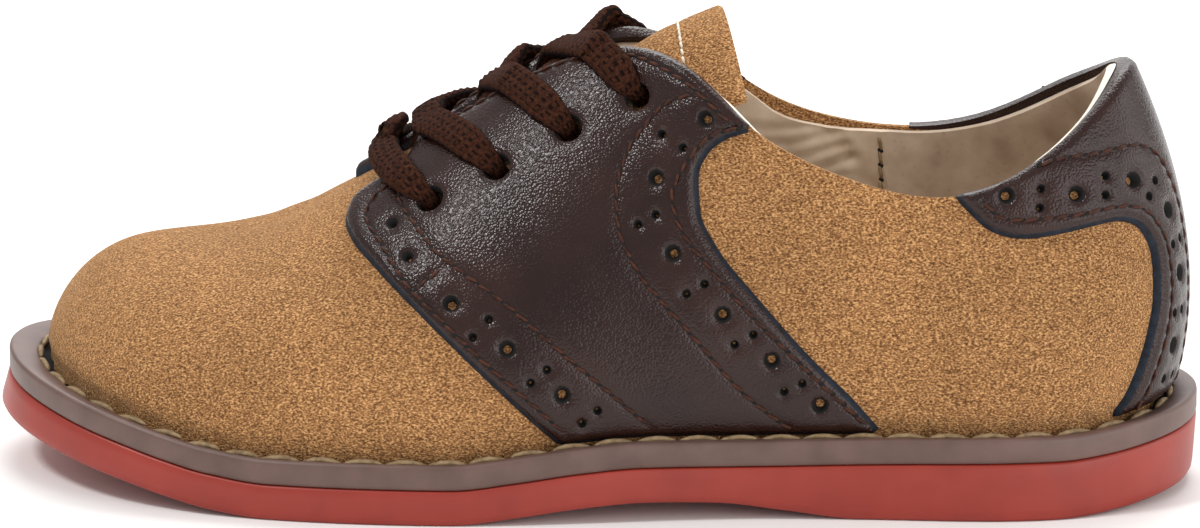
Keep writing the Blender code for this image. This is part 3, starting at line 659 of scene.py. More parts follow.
# %% Lining
rim_x = last_point(loops, 1.0)[:, 0]
drop = np.where(loops > HALF_LOOP, steady_curve(*TRIMMED.T, rim_x), steady_curve(*PROUD.T, rim_x))
lining_top = 1.0 - np.where(closed_top, 0.0, drop) / wall_length(loops)
shares = 1.0 - np.linspace(0.0, 1.0, LINING_ROWS + 1) ** 1.15
lining_rise = LINING_FOOT + (lining_top[None, :] - LINING_FOOT) * shares[:, None]
depth = (lining_top[None, :] - lining_rise) * wall_length(loops)[None, :]
heel = 1.0 / (1.0 + np.exp((PADDING_X - rim_x) / 3.0))
padding = PADDING * heel[None, :] * bell(depth, PADDING_DEPTH)
base = lifted(loops[None, :], lining_rise, -UPPER_WALL - padding)
inner = base + lining_relief(base)[..., None] * last_normal(loops[None, :], lining_rise)
edge_out = lifted(loops, lining_top, -LINING_EDGE)
edge_mid = (edge_out + inner[0]) / 2.0 + (0.0, 0.0, 0.22)
lining_points = np.concatenate([edge_out[None], edge_mid[None], inner]).reshape(-1, 3)
lining_faces = skin_faces(LINING_ROWS + 3, 2, 0)[:, ::-1]
inner_eyelets = np.array([lifted(*place, -UPPER_WALL) for place in eyelet_places])
lining_points, lining_faces = open_holes(lining_points, lining_faces, inner_eyelets, EYELET_RADIUS)
# calf in front of the seam, pigskin behind it, and the raw edge where it was cut in sight
centre_x, centre_y, _ = lining_points[lining_faces].mean(1).T
raw = (lining_faces.min(1) // columns < 2) & ((centre_y < 2.0) | (centre_x > 79.0))
lining_finish = np.where(raw, 2, np.where(centre_x > SEAM_X, 1, 0))
add_piece(
    "upper_lining", *only_used(lining_points, lining_faces),
    [calf_lining, pigskin, raw_edge], "lining_leather", ["upper"], lining_finish,
)

# %% [markdown]
# ## Leather panels with punched holes
# The saddle and backstay are flat leather cut to a pattern, punched and sewn on. A grid of
# squares can't hold round holes and free outlines, so each panel is drawn as a flat pattern in
# (loop, rise) and filled with triangles that respect its outline and holes. The pattern is
# then laid on the last. The edge rolls over, the leather dips along each seam and round each
# hole, and where the panel reaches the collar it folds over the top.

# %% Tools for lines on the last
# about how many millimetres one step of loop and of rise is, so that flat triangles keep their shape
FLAT = np.array([12.0, 52.0])


def pull_back(targets, places):
    """The places on the last nearest to points in space, found from a first guess."""
    places = np.array(places, float)
    for _ in range(5):
        loop, rise = places[:, 0], places[:, 1]
        along = (last_point(loop + STEP, rise) - last_point(loop - STEP, rise)) / (2.0 * STEP)
        upward = last_point(loop, rise + RISE_STEP) - last_point(loop, rise - RISE_STEP)
        upward /= 2.0 * RISE_STEP
        miss = targets - last_point(loop, rise)
        aa, ab, bb = ((p * q).sum(1) for p, q in ((along, along), (along, upward), (upward, upward)))
        ra, rb = (along * miss).sum(1), (upward * miss).sum(1)
        spread = aa * bb - ab**2
        step = np.stack([(ra * bb - rb * ab) / spread, (rb * aa - ra * ab) / spread], 1)
        places = places + np.clip(step, -0.5, 0.5)
    return places


def resample(places, step, closed=False):
    """Places at even distances along a line of places."""
    places = np.asarray(places, float)
    if closed:
        places = np.concatenate([places, places[:1]])
    dense = along_line(places, 40 * len(places))
    way = way_along(last_point(*dense.T))
    count = max(2, round(way[-1] / step))
    at = np.linspace(0.0, way[-1], count + 1)
    even = np.stack([np.interp(at, way, dense[:, axis]) for axis in (0, 1)], 1)
    return even[:-1] if closed else even


def smooth_line(places, steps=12):
    """A Catmull-Rom curve through points or places."""
    places = np.asarray(places, float)
    ends = np.concatenate([2.0 * places[:1] - places[1:2], places, 2.0 * places[-1:] - places[-2:-1]])
    t = (np.arange(steps) / steps)[:, None]
    curve = []
    for number in range(len(places) - 1):
        before, start, stop, after = ends[number:number + 4]
        bend = (2.0 * before - 5.0 * start + 4.0 * stop - after) * t**2
        turn = (3.0 * start - before - 3.0 * stop + after) * t**3
        curve.append(start + 0.5 * ((stop - before) * t + bend + turn))
    return np.concatenate(curve + [places[-1:]])


def beside(places, distance, closed=False):
    """A line moved sideways on the last, to the left of its own direction."""
    points = last_point(*places.T)
    if closed:
        along = np.roll(points, -1, 0) - np.roll(points, 1, 0)
    else:
        along = np.gradient(points, axis=0)
    left = np.cross(last_normal(*places.T), unit(along))
    return pull_back(points + distance * left, places)


def ring(place, radius, sides):
    """A round line on the last."""
    loop, rise = place
    normal = last_normal(np.asarray(loop), np.asarray(rise))
    along = unit(last_point(loop + STEP, rise) - last_point(loop - STEP, rise))
    across = np.cross(normal, along)
    turn = np.linspace(0.0, 2.0 * math.pi, sides, endpoint=False)[:, None]
    circle = last_point(loop, rise) + radius * (np.cos(turn) * along + np.sin(turn) * across)
    return pull_back(circle, np.tile(place, (sides, 1)))


# %% Tools for flat points
def within(points, outline):
    """Which flat points are inside a closed outline."""
    x, y = points[:, 0, None], points[:, 1, None]
    ax, ay = outline[None, :, 0], outline[None, :, 1]
    bx, by = np.roll(ax, -1, 1), np.roll(ay, -1, 1)
    rises_past = (ay > y) != (by > y)
    gap = np.where(by == ay, 1.0, by - ay)
    return (rises_past & (x < (bx - ax) * (y - ay) / gap + ax)).sum(1) % 2 == 1


def keep_apart(points, others, gap):
    """Those points that are at least this far from all the others."""
    return points[nearest(points, others) > gap]


# %% Fill a pattern with triangles
# millimetres from the outline, the holes and the seams at which rows of points are set
EDGE_ROWS, HOLE_ROWS, SEAM_ROWS = (0.3, 0.7, 1.3), (0.35, 0.8), (0.0, 0.5, -0.5)
# steps between points in the open leather, and how far every second row is moved
FILL_X, FILL_Y, FILL_SHIFT = 1.15, 1.0, 0.55


def fill_pattern(outline, rings, holes, seams):
    """Places and triangles of a pattern, and the number of each outline and ring point among the places."""
    lines = [outline] + rings
    starts = np.cumsum([0] + [len(line) for line in lines])
    edges = [
        (start + i, start + (i + 1) % len(line))
        for start, line in zip(starts.tolist(), lines) for i in range(len(line))
    ]
    groups = [(beside(outline, d, True), 0.2) for d in EDGE_ROWS]
    groups += [(ring(place, radius + d, 24), 0.2) for place, radius in holes for d in HOLE_ROWS]
    for seam in seams:
        even = resample(seam, 0.7)
        groups += [(beside(even, d), 0.25) for d in SEAM_ROWS]
    low, high = outline.min(0) * FLAT, outline.max(0) * FLAT
    fill = np.meshgrid(np.arange(low[0], high[0], FILL_X), np.arange(low[1], high[1], FILL_Y))
    fill = np.stack(fill, -1)
    fill[1::2, :, 0] += FILL_SHIFT
    groups.append((fill.reshape(-1, 2) / FLAT, 0.5))

    def in_leather(points):
        inside = within(points, outline * FLAT)
        for line in rings:
            inside &= ~within(points, line * FLAT)
        return inside

    flat = np.concatenate(lines) * FLAT
    for places, gap in groups:
        places = places * FLAT
        flat = np.concatenate([flat, keep_apart(places[in_leather(places)], flat, gap)])
    made = delaunay_2d_cdt([Vector(point) for point in flat], edges, [], 0, 1e-5)
    places, faces = np.array([tuple(point) for point in made[0]]), np.array(made[2])
    number = np.zeros(len(flat), int)
    for place, sources in enumerate(made[3]):
        number[sources] = place
    return places / FLAT, faces[in_leather(places[faces].mean(1))], number


# %% The relief and the edge of a panel
# how deep the leather dips at its outline, its seams and its holes, and how far from each
EDGE_DIP, SEAM_DIP, HOLE_DIP = (0.75, 1.3), (0.30, 0.55), (0.28, 0.45)
FOLD_DEPTH = 3.2


def panel_lift(points, outline, holes, seams):
    """How far each point of a panel's face stands above the last."""
    to_edge = nearest(points, last_point(*resample(outline, 0.3, True).T))
    depth, reach = EDGE_DIP
    lift = LEATHER_TOP - depth * np.clip(1.0 - to_edge / reach, 0.0, 1.0) ** 2
    sewn = np.concatenate([last_point(*resample(seam, 0.25).T) for seam in seams])
    depth, reach = SEAM_DIP
    lift -= depth * bell(nearest(points, sewn), reach)
    depth, reach = HOLE_DIP
    for place, radius in holes:
        lift -= depth * bell(np.linalg.norm(points - last_point(*place), axis=1) - radius, reach)
    return lift


def panel_edge(outline):
    """Rows of points from the outline down to the suede, or over the collar where a panel reaches it."""
    on_rim = outline[:, 1] > 0.998
    rim_loops = outline[on_rim, 0]
    from_end = np.minimum(outline[:, 0] - rim_loops.min(), rim_loops.max() - outline[:, 0])
    depth = FOLD_DEPTH * np.clip(0.06 + from_end / 2.4, 0.0, 1.0)
    down = np.stack([outline[:, 0], 1.0 - depth / wall_length(outline[:, 0])], 1)
    outwards = beside(outline, -0.7, True)
    up = np.array([0.0, 0.0, 0.3])
    steps = (
        (on_upper(*beside(outline, -0.35, True).T, 0.6), lifted(*outline.T, 0.3) + up),
        (on_upper(*outwards.T, -0.1), lifted(*outline.T, -SKIN - 0.1) + up / 2.0),
        (on_upper(*outwards.T, -0.3), lifted(*down.T, -SKIN - 0.12)),
    )
    return on_rim, [np.where(on_rim[:, None], fold, bevel) for bevel, fold in steps]


# %% One leather panel
# radii of the punched holes, and the share of a radius that is left at the bottom of a hole
LARGE, SMALL, MIDDLING = 1.3, 0.72, 1.0
EYELET_LEFT, LARGE_LEFT, SMALL_LEFT = 0.92, 0.45, 0.25


def leather_panel(name, outline, holes, seams, nodes):
    """A panel from its closed outline, its holes (place, radius) and its seams, all on the last."""
    outline = resample(outline, 0.8, closed=True)
    rings = [ring(place, radius, 28 if radius > MIDDLING else 18) for place, radius in holes]
    places, faces, number = fill_pattern(outline, rings, holes, seams)
    loop, rise = places.T
    top = on_upper(loop, rise, panel_lift(last_point(loop, rise), outline, holes, seams))
    facing = np.cross(top[faces[:, 1]] - top[faces[:, 0]], top[faces[:, 2]] - top[faces[:, 0]])
    backwards = (facing * last_normal(loop, rise)[faces].mean(1)).sum(1) < 0
    faces[backwards] = faces[backwards][:, ::-1]
    points, all_faces, finish_of, total = [top], faces.tolist(), [0] * len(faces), len(top)
    on_rim, rows = panel_edge(outline)
    before = number[:len(outline)]
    for row in rows:
        here = total + np.arange(len(row))
        points.append(row)
        all_faces += strip(before, here).tolist()
        finish_of += np.where(on_rim & np.roll(on_rim, -1), 0, 1).tolist()
        before, total = here, total + len(row)
    start = len(outline)
    # each hole's wall narrows down towards the suede and is coloured with painted shade
    for line, (place, radius) in zip(rings, holes):
        count = len(line)
        left = EYELET_LEFT if radius > LARGE else LARGE_LEFT if radius == LARGE else SMALL_LEFT
        points.append(on_upper(*ring(place, left * radius, count).T, -0.08))
        all_faces += strip(number[start:start + count], total + np.arange(count))[:, ::-1].tolist()
        finish_of += [2] * count
        start, total = start + count, total + count
    add_piece(
        name, np.concatenate(points), all_faces, [brown_leather, inked_edge, hole_and_channel_shade],
        "brown_leather", nodes, finish_of, sharp=50.0,
    )


# %% [markdown]
# ## Stitches
# A lockstitch shows as a row of short humps of thread, each diving into its needle hole. Every
# stitch is its own small capsule, bent down at both ends and turned a little across the seam,
# as a twisted thread lies.

# %% One stitch
def capsule(length, width, height, hump):
    """Rings of points for one stitch along X, with its top along Z."""
    along = np.array([-1.0, -0.8, -0.4, 0.0, 0.4, 0.8, 1.0])
    girth = np.array([0.45, 0.85, 1.0, 1.0, 1.0, 0.85, 0.45])
    turn = np.linspace(0.0, 2.0 * math.pi, 7)[:-1]
    x = np.repeat(along[:, None] * length / 2.0, 6, 1)
    y = girth[:, None] * np.cos(turn)[None, :] * width / 2.0
    z = girth[:, None] * np.sin(turn)[None, :] * height / 2.0 + hump * (1.0 - along[:, None] ** 2)
    return np.stack([x, y, z], -1).reshape(-1, 3)


# seven rings of six points, a cap at each end, and a flat capsule that carries the painted shade of a needle
# hole
CAPSULE_FACES = [tuple(face) for face in grid_faces(7, 6, closed=True)]
CAPSULE_FACES = [face[::-1] for face in CAPSULE_FACES] + [tuple(range(6)), tuple(range(41, 35, -1))]
NEEDLE_HOLE, PRICK_SLANT = capsule(0.95, 0.8, 0.3, 0.0), 0.5


# %% Rows of stitches
def stitches(name, middles, alongs, normals, shape, slant, finish, slot, pricks=()):
    """One mesh of stitches, each at a middle, along a direction and on a surface, with painted shade at the
    needle holes.
    """
    points, faces = [], []

    def place_shape(shape, middle, along, normal, slant):
        across = unit(np.cross(normal, along))
        along = math.cos(slant) * np.cross(across, normal) + math.sin(slant) * across
        start = len(points) * len(shape)
        points.append(middle + shape @ np.stack([along, np.cross(normal, along), normal]))
        faces.extend(tuple(corner + start for corner in face) for face in CAPSULE_FACES)

    for middle, along, normal in zip(middles, alongs, normals):
        place_shape(shape, middle, along, normal, slant)
    sewn = len(faces)
    # a flat capsule of painted shade marks each needle hole
    for middle, along, normal in pricks:
        place_shape(NEEDLE_HOLE, middle, along, normal, PRICK_SLANT)
    finish_of = np.arange(len(faces)) >= sewn
    points = np.concatenate(points)
    add_piece(name, points, faces, [finish, hole_and_channel_shade], slot, (), finish_of, sharp=80.0)


def sew(name, lines, lift, finish, slot, pitch=2.4, thread=0.56, slant=0.16, inside=False):
    """Stitches along lines of places on the last, on its outer or its inner side."""
    middles, alongs, normals, pricks = [], [], [], []
    for line in lines:
        even = resample(line, pitch / 2.0)
        spots = on_upper(*even.T, lift)
        outwards = last_normal(*even.T) * (-1.0 if inside else 1.0)
        count = (len(spots) - 1) // 2
        middles.append(spots[1::2][:count])
        alongs.append((spots[2::2] - spots[:-2:2])[:count])
        normals.append(outwards[1::2][:count])
        pricks += list(zip(spots[::2][:count], alongs[-1], outwards[::2][:count]))
    shape = capsule(pitch * 0.9, thread, thread, 0.2)
    middles, alongs, normals = (np.concatenate(part) for part in (middles, alongs, normals))
    stitches(name, middles, alongs, normals, shape, slant, finish, slot, pricks)


# %% Lining seam
seam_rises = np.linspace(0.12, 0.965, 40)
for side, first, last in (("lateral", 10.0, 15.0), ("medial", 26.0, 21.0)):
    trial = np.linspace(first, last, 200)
    seam = [
        (np.interp(SEAM_X - 0.9, last_point(trial, rise)[:, 0], trial), rise) for rise in seam_rises
    ]
    lift = -UPPER_WALL - SEAM_STEP
    sew(f"lining_{side}_stitches", [seam], lift, welt_thread, "lining_leather", inside=True)

# %% [markdown]
# ## The saddle
# The saddle comes in two halves, one on each side of the throat. Their edges, seams and holes
# are read from the outer half in the picture and mirrored for the inner one. Large and small
# holes alternate in the two bands between the seams.

# %% Saddle pattern
# edges as height and x
LATERAL_FRONT = np.array([
    (9, 0), (13, -4.5), (21, -13), (31, -24.5), (37, -32.5), (40, -36.6), (41.8, -37.9), (43.4, -37.4),
    (44.9, -35.6), (47.1, -31.8), (49.5, -29), (51.5, -27.6),
])
MEDIAL_FRONT = np.array([
    (9, 0), (13, -4.5), (21, -13), (31, -24.5), (37, -32.5), (40.5, -36.8), (43, -38.6), (45.5, -37.8),
    (47.4, -34.5),
])
SADDLE_REAR = np.array([
    (12, 45), (17, 41), (24.5, 33.5), (33.5, 25.5), (41, 19.2), (46.5, 16.4), (52, 16), (55.5, 17.5),
    (58, 20.6), (59.4, 24.6),
])
FRONT_SEAM = (
    (6.27, 0.776), (6.10, 0.760), (5.98, 0.716), (6.00, 0.668), (6.18, 0.583), (6.45, 0.461), (6.76, 0.368),
    (7.36, 0.219), (8.00, 0.077), (8.26, 0.020),
)
FRONT_BAND = (
    (6.38, 0.800), (6.37, 0.721), (6.46, 0.653), (6.69, 0.552), (6.92, 0.479), (7.51, 0.350), (8.17, 0.209),
    (8.62, 0.128), (9.25, 0.020),
)
CROSS_SEAM = ((6.60, 0.425), (6.78, 0.449), (6.93, 0.466))
REAR_SEAM = (
    (10.81, 0.960), (10.46, 0.872), (10.10, 0.764), (9.86, 0.677), (9.68, 0.599), (9.62, 0.549),
    (9.75, 0.478), (10.19, 0.402), (10.91, 0.291), (11.53, 0.173), (12.03, 0.067), (12.24, 0.020),
)
REAR_BAND = (
    (10.06, 0.910), (9.70, 0.830), (9.33, 0.719), (9.04, 0.632), (8.90, 0.562), (8.87, 0.504), (8.91, 0.433),
    (9.13, 0.357), (9.38, 0.312), (9.86, 0.229), (10.37, 0.132), (11.10, 0.020),
)
FACING_SEAM = (
    (6.9, 0.972), (7.6, 0.97), (8.5, 0.962), (9.0, 0.952), (9.6, 0.945), (10.3, 0.942), (10.75, 0.95),
)
SADDLE_HOLES = (
    [((6.31, 0.631), MIDDLING), ((6.5, 0.517), MIDDLING)]
    + [(place, LARGE) for place in (
        (6.98, 0.373), (7.59, 0.240), (8.19, 0.117), (10.24, 0.867), (9.42, 0.591), (9.58, 0.426),
        (10.18, 0.319), (10.82, 0.230), (11.48, 0.107))]
    + [(place, SMALL) for place in (
        (7.39, 0.315), (7.22, 0.285), (8.02, 0.177), (7.84, 0.156), (8.59, 0.073), (8.41, 0.048),
        (9.55, 0.716), (9.83, 0.713), (9.38, 0.501), (9.14, 0.467), (9.96, 0.380), (9.72, 0.341),
        (10.58, 0.292), (10.32, 0.250), (11.23, 0.175), (10.98, 0.142))]
)


# %% Tools for the saddle
def edge_places(edge, rise, mirrored):
    """Where an edge given as height and x crosses the row at this rise, as a loop place."""
    trial = np.linspace(3.0, HALF_LOOP - 2.0, 800)
    row = last_point(LOOP - trial if mirrored else trial, rise)
    miss = row[:, 0] - steady_curve(*edge.T, row[:, 2])
    crossing = np.nonzero((miss[:-1] < 0) & (miss[1:] >= 0))[0][-1]
    share = miss[crossing] / (miss[crossing] - miss[crossing + 1])
    return trial[crossing] + share * (trial[crossing + 1] - trial[crossing])


def mirror(places):
    places = np.array(places, float)
    return np.stack([LOOP - places[:, 0], places[:, 1]], 1)


def mirror_holes(holes):
    return [((LOOP - loop, rise), radius) for (loop, rise), radius in holes]


# %% Saddle halves
# rises of the lower edge, of the last row below the collar and of the row just under it
SADDLE_FOOT, BELOW_RIM, AT_RIM = 0.004, 0.985, 0.999
# thread lies this far below the leather's face
SUNK = 0.32
saddle_seams = [
    smooth_line(line)
    for line in (FRONT_SEAM, FRONT_BAND, CROSS_SEAM, REAR_SEAM, REAR_BAND, FACING_SEAM)
]
heights = np.linspace(SADDLE_FOOT, BELOW_RIM, 60)
for side in ("lateral", "medial"):
    mirrored = side == "medial"
    front_edge = MEDIAL_FRONT if mirrored else LATERAL_FRONT
    front = [(edge_places(front_edge, rise, mirrored), rise) for rise in heights]
    front_top = THROAT + 0.05 if mirrored else edge_places(front_edge, AT_RIM, mirrored)
    rear = [(edge_places(SADDLE_REAR, rise, mirrored), rise) for rise in heights]
    rear_top = edge_places(SADDLE_REAR, AT_RIM, mirrored)
    facing = [(place, 1.0) for place in np.linspace(rear_top, front_top, 60)]
    foot = [(place, SADDLE_FOOT) for place in np.linspace(front[0][0], rear[0][0], 50)[1:-1]]
    outline = np.array(foot + rear + facing + front[::-1])
    holes = SADDLE_HOLES + [(place, EYELET_RADIUS) for place in eyelet_places[::2]]
    seams = saddle_seams
    if mirrored:
        outline, holes = mirror(outline)[::-1], mirror_holes(holes)
        # the collar is lower on the inner side, so the seams end where that half's rear edge does
        ends = [[edge_places(SADDLE_REAR, min(rise, 0.98), True) for _, rise in seam] for seam in seams]
        seams = [mirror(seam[seam[:, 0] < np.array(end) - 0.2]) for seam, end in zip(seams, ends)]
    leather_panel(f"saddle_{side}_leather", outline, holes, seams, [f"saddle_{side}"])
    sew(f"saddle_{side}_stitches", seams, LEATHER_TOP - SUNK, rust_thread, "brown_leather")

# %% [markdown]
# ## The backstay
# One piece of leather guards the heel: two wings along the collar and a strip down the back
# seam. Its reach from the back seam is a table up the wall, and the inner wing is the longer one.

# %% Backstay pattern
# share of the way up the wall, reach on the lateral and on the medial side
BACKSTAY = np.array([
    (0.01, 19.4, 19.4), (0.10, 17.8, 17.8), (0.22, 15.6, 15.6), (0.36, 13.2, 13.2), (0.50, 12.2, 12.2),
    (0.58, 13.3, 13.3), (0.62, 14.9, 14.9), (0.655, 17.5, 17.9), (0.69, 22.4, 23.4), (0.73, 28.1, 30.3),
    (0.78, 33.2, 36.6), (0.85, 36.2, 41.5), (0.92, 37.3, 44.4), (1.00, 38.4, 46.4),
])
STAY_SEAM = (
    (13.86, 0.955), (14.1, 0.866), (14.48, 0.813), (14.95, 0.764), (15.43, 0.723), (16.06, 0.681),
    (16.44, 0.645), (16.69, 0.603), (16.94, 0.519), (16.99, 0.43), (16.95, 0.339), (16.76, 0.219),
    (16.48, 0.11), (16.2, 0.02),
)
STAY_BAND = (
    (14.74, 0.988), (15.09, 0.955), (15.81, 0.876), (16.79, 0.808), (17.27, 0.753), (17.5, 0.69),
    (17.66, 0.60), (17.70, 0.48), (17.70, 0.35), (17.64, 0.2), (17.55, 0.02),
)
STAY_LARGE = ((14.2, 0.945), (15.27, 0.804), (16.41, 0.732), (17.2, 0.589), (17.3, 0.393), (17.05, 0.185))
STAY_SMALL = (
    (14.72, 0.899), (14.67, 0.834), (15.84, 0.797), (15.77, 0.743), (16.99, 0.69), (16.72, 0.661),
    (17.16, 0.488), (17.46, 0.489), (17.05, 0.285), (17.33, 0.28), (16.85, 0.09), (17.2, 0.085),
)


def stay_place(share, side):
    """The place on the backstay's edge at this share of the wall, on side -1 or 1."""
    trial = HALF_LOOP + np.linspace(-7.0, 7.0, 561)
    way = way_along(last_point(trial, share))
    way -= way[len(trial) // 2]
    reach = steady_curve(BACKSTAY[:, 0], BACKSTAY[:, 1 if side < 0 else 2], share)
    return np.interp(side * reach, way, trial)


# %% Backstay
STAY_FOOT = 0.01
heights = np.concatenate([np.linspace(STAY_FOOT, 0.6, 40), np.linspace(0.61, BELOW_RIM, 60)])
near = [(stay_place(share, -1.0), share) for share in heights]
far = [(stay_place(share, 1.0), share) for share in heights]
collar = [(place, 1.0) for place in np.linspace(stay_place(1.0, 1.0), stay_place(1.0, -1.0), 120)]
foot = [(place, STAY_FOOT) for place in np.linspace(near[0][0], far[0][0], 40)[1:-1]]
stay_seams = [smooth_line(line) for line in (STAY_SEAM, STAY_BAND)]
stay_seams += [mirror(seam) for seam in stay_seams]
holes = [(place, LARGE) for place in STAY_LARGE] + [(place, SMALL) for place in STAY_SMALL]
holes += mirror_holes(holes)
outline = np.array(foot + far + collar + near[::-1])
leather_panel("backstay_leather", outline, holes, stay_seams, ["backstay"])
sew("backstay_stitches", stay_seams, LEATHER_TOP - SUNK, rust_thread, "brown_leather")

# %% [markdown]
# ## The tongue
# The tongue is a leaf of the same suede that bends over the instep and stands out above the
# facings. A row of white thread crosses it near its free edge, where its lining is sewn on.

# %% Tongue shape
# x, middle y, z, half width, drop at the sides, lean and skew of the section
TONGUE = np.array([
    (-37, 1.4, 42.7, 7.0, 1.1, 0.0, 0.0), (-24, 1.2, 50.4, 9.0, 3.0, 0.0, 0.0),
    (-10, 0.9, 59.1, 10.4, 5.0, 0.0, 0.0), (2, 0.4, 65.2, 11.4, 8.2, 0.5, 0.5),
    (10, 0.0, 70.3, 11.8, 10.8, 1.2, 1.2), (19, 0.1, 74.2, 15.2, 10.8, 2.0, 2.5),
])
TONGUE_WALL = 1.6
TONGUE_ROWS, TONGUE_COLUMNS = 96, 48
TONGUE_START, TONGUE_END, TONGUE_SEAM = -36.6, 19.0, 12.0


def tongue_point(x, across, drop=0.0):
    """The tongue's upper face at this x and share across, or a face this far below it."""
    middle, z, half, sides, lean, skew = (steady_curve(TONGUE[:, 0], TONGUE[:, c], x) for c in range(1, 7))
    # the free edge's corners are rounded
    half = half * (1.0 - 0.10 * ramp(x, 15.5, TONGUE_END) ** 3)
    return np.stack([
        x + lean * across**2 - skew * across,
        middle + half * across,
        z - sides * across**2 - drop,
    ], -1)


# %% Tongue
xs = np.linspace(TONGUE_START, TONGUE_END, TONGUE_ROWS)[:, None]
across = np.linspace(-1.0, 1.0, TONGUE_COLUMNS)[None, :]
xs, across = np.broadcast_arrays(xs, across)
bevel = 0.5 * np.maximum(ramp(np.abs(across), 0.93, 1.0), ramp(xs, 18.2, TONGUE_END)) ** 2
bevel = bevel + 0.2 * bell(xs - TONGUE_SEAM, 0.6)
upper_face = tongue_point(xs, across, bevel)
lower_face = tongue_point(xs, across, TONGUE_WALL - 0.5 * bevel)
count = TONGUE_ROWS * TONGUE_COLUMNS
sheet = grid_faces(TONGUE_ROWS, TONGUE_COLUMNS)
border = np.concatenate([
    np.arange(TONGUE_COLUMNS),
    np.arange(2, TONGUE_ROWS) * TONGUE_COLUMNS - 1,
    np.arange(count - 1, count - TONGUE_COLUMNS - 1, -1),
    np.arange(TONGUE_ROWS - 2, 0, -1) * TONGUE_COLUMNS,
])
rim_faces = strip(border, border + count)
tongue_faces = np.concatenate([sheet[:, ::-1], sheet + count, rim_faces])
tongue_finish = np.concatenate([np.zeros(len(sheet)), np.ones(len(sheet)), np.zeros(len(rim_faces))])
add_piece(
    "tongue_suede", np.concatenate([upper_face.reshape(-1, 3), lower_face.reshape(-1, 3)]), tongue_faces,
    [tan_suede, calf_lining], "tan_suede", ["tongue"], tongue_finish,
)

# %% Tongue stitches
seam_x, across = np.full(24, TONGUE_SEAM), np.linspace(-0.94, 0.94, 24)
row = tongue_point(seam_x, across, 0.12)
along = np.gradient(row, axis=0)
normal = np.cross(row - tongue_point(seam_x - 0.5, across), along)
normal = unit(normal * np.sign(normal[:, 2:]))
stitches(
    "tongue_stitches", row, along, normal, capsule(1.2, 0.45, 0.45, 0.2), 0.1, white_thread, "tan_suede"
)

# %% [markdown]
# ## The lace
# A flat braided lace starts as a straight bar over the lowest eyelets. Each end then crosses
# the throat, lies over the facing and dives into the next eyelet from above. Its section is a
# flat oval that is squeezed where it enters the hole, and small chevrons stand on it, as the
# braid's strands do. Its ends stop under the top eyelets.

# %% Lace path
LACE_WIDTH, LACE_THICKNESS = 5.4, 2.3
LACE_LEVEL = LEATHER_TOP + 0.1 + LACE_THICKNESS / 2.0
BAR_FORWARD, BAR_LIFT = 8.0, 5.0
CROSS_FORWARD = 12.7
# how far the upper strand of each crossing stands above the facing's edge, and the lower one below that
CROSS_TOPS = (4.4, 2.7, 1.8)
CROSS_DROP = 2.3
# the lace dives into the upper half of its hole, this far above the hole's middle
ABOVE_HOLE = 1.2
LACE_SIDES = 44
LACE_STEPS = 30
BRAID_COLUMNS, BRAID_PITCH, BRAID_DEPTH = 5, 1.5, 0.34


def facing_point(x, from_edge, lift, mirrored):
    place, rise = facing_place(x, from_edge)
    loop = LOOP - place if mirrored else place
    return lifted(loop, rise, lift), last_normal(np.asarray(loop), np.asarray(rise))


def strand(eyelet, forward, lift, mirrored, rounded):
    """Points, normals and widths from under an eyelet to above the middle of the throat."""
    x, from_edge = eyelet
    edge = facing_point(x - forward, 0.0, 0.0, False)[0]
    ridge_y = smooth_loop(RIDGE_Y, np.asarray(facing_place(x - forward, 0.0)[0]))
    middle = np.array([x - forward, ridge_y, edge[2] + lift])
    own_edge = facing_point(x - forward, 0.0, 0.0, mirrored)[0]
    on_facing = from_edge / (from_edge + abs(middle[1] - own_edge[1]))
    hole = ABOVE_HOLE / from_edge
    # share of the way from the hole to the facing's edge, height above the last and width
    rows = [
        (hole - 0.02, -3.4, 0.55), (hole, -0.6, 0.58), (hole + 0.09, 2.1, 0.80),
        (hole + 0.25, LACE_LEVEL, 1.0),
    ]
    rows += [(hole + (1.0 - hole) * share, LACE_LEVEL, 1.0) for share in (0.46, 0.64, 0.80, 0.93)]
    path, normals, widths = [], [], []
    for share, height, width in rows:
        travel = max(share, 0.0) * on_facing
        travel = 1.0 - (1.0 - travel) ** 2 if rounded else travel
        point, normal = facing_point(x - forward * travel, from_edge * (1.0 - share), height, mirrored)
        path.append(point)
        normals.append(normal)
        widths.append(width)
    # Where the lace turns down into its hole, its flat side turns to face along the facing.
    down_the_facing = unit(path[1] - path[3])
    for number, turned in ((0, 0.95), (1, 0.85), (2, 0.45)):
        normals[number] = (1.0 - turned) * normals[number] + turned * down_the_facing
    before, after = (facing_point(x - forward + step, 0.0, 0.0, False)[0] for step in (-3.0, 3.0))
    ridge = after - before
    over_ridge = np.array([-ridge[2], 0.0, ridge[0]]) / math.hypot(ridge[0], ridge[2])
    return np.array(path + [middle]), np.array(normals + [over_ridge]), np.array(widths + [1.0])


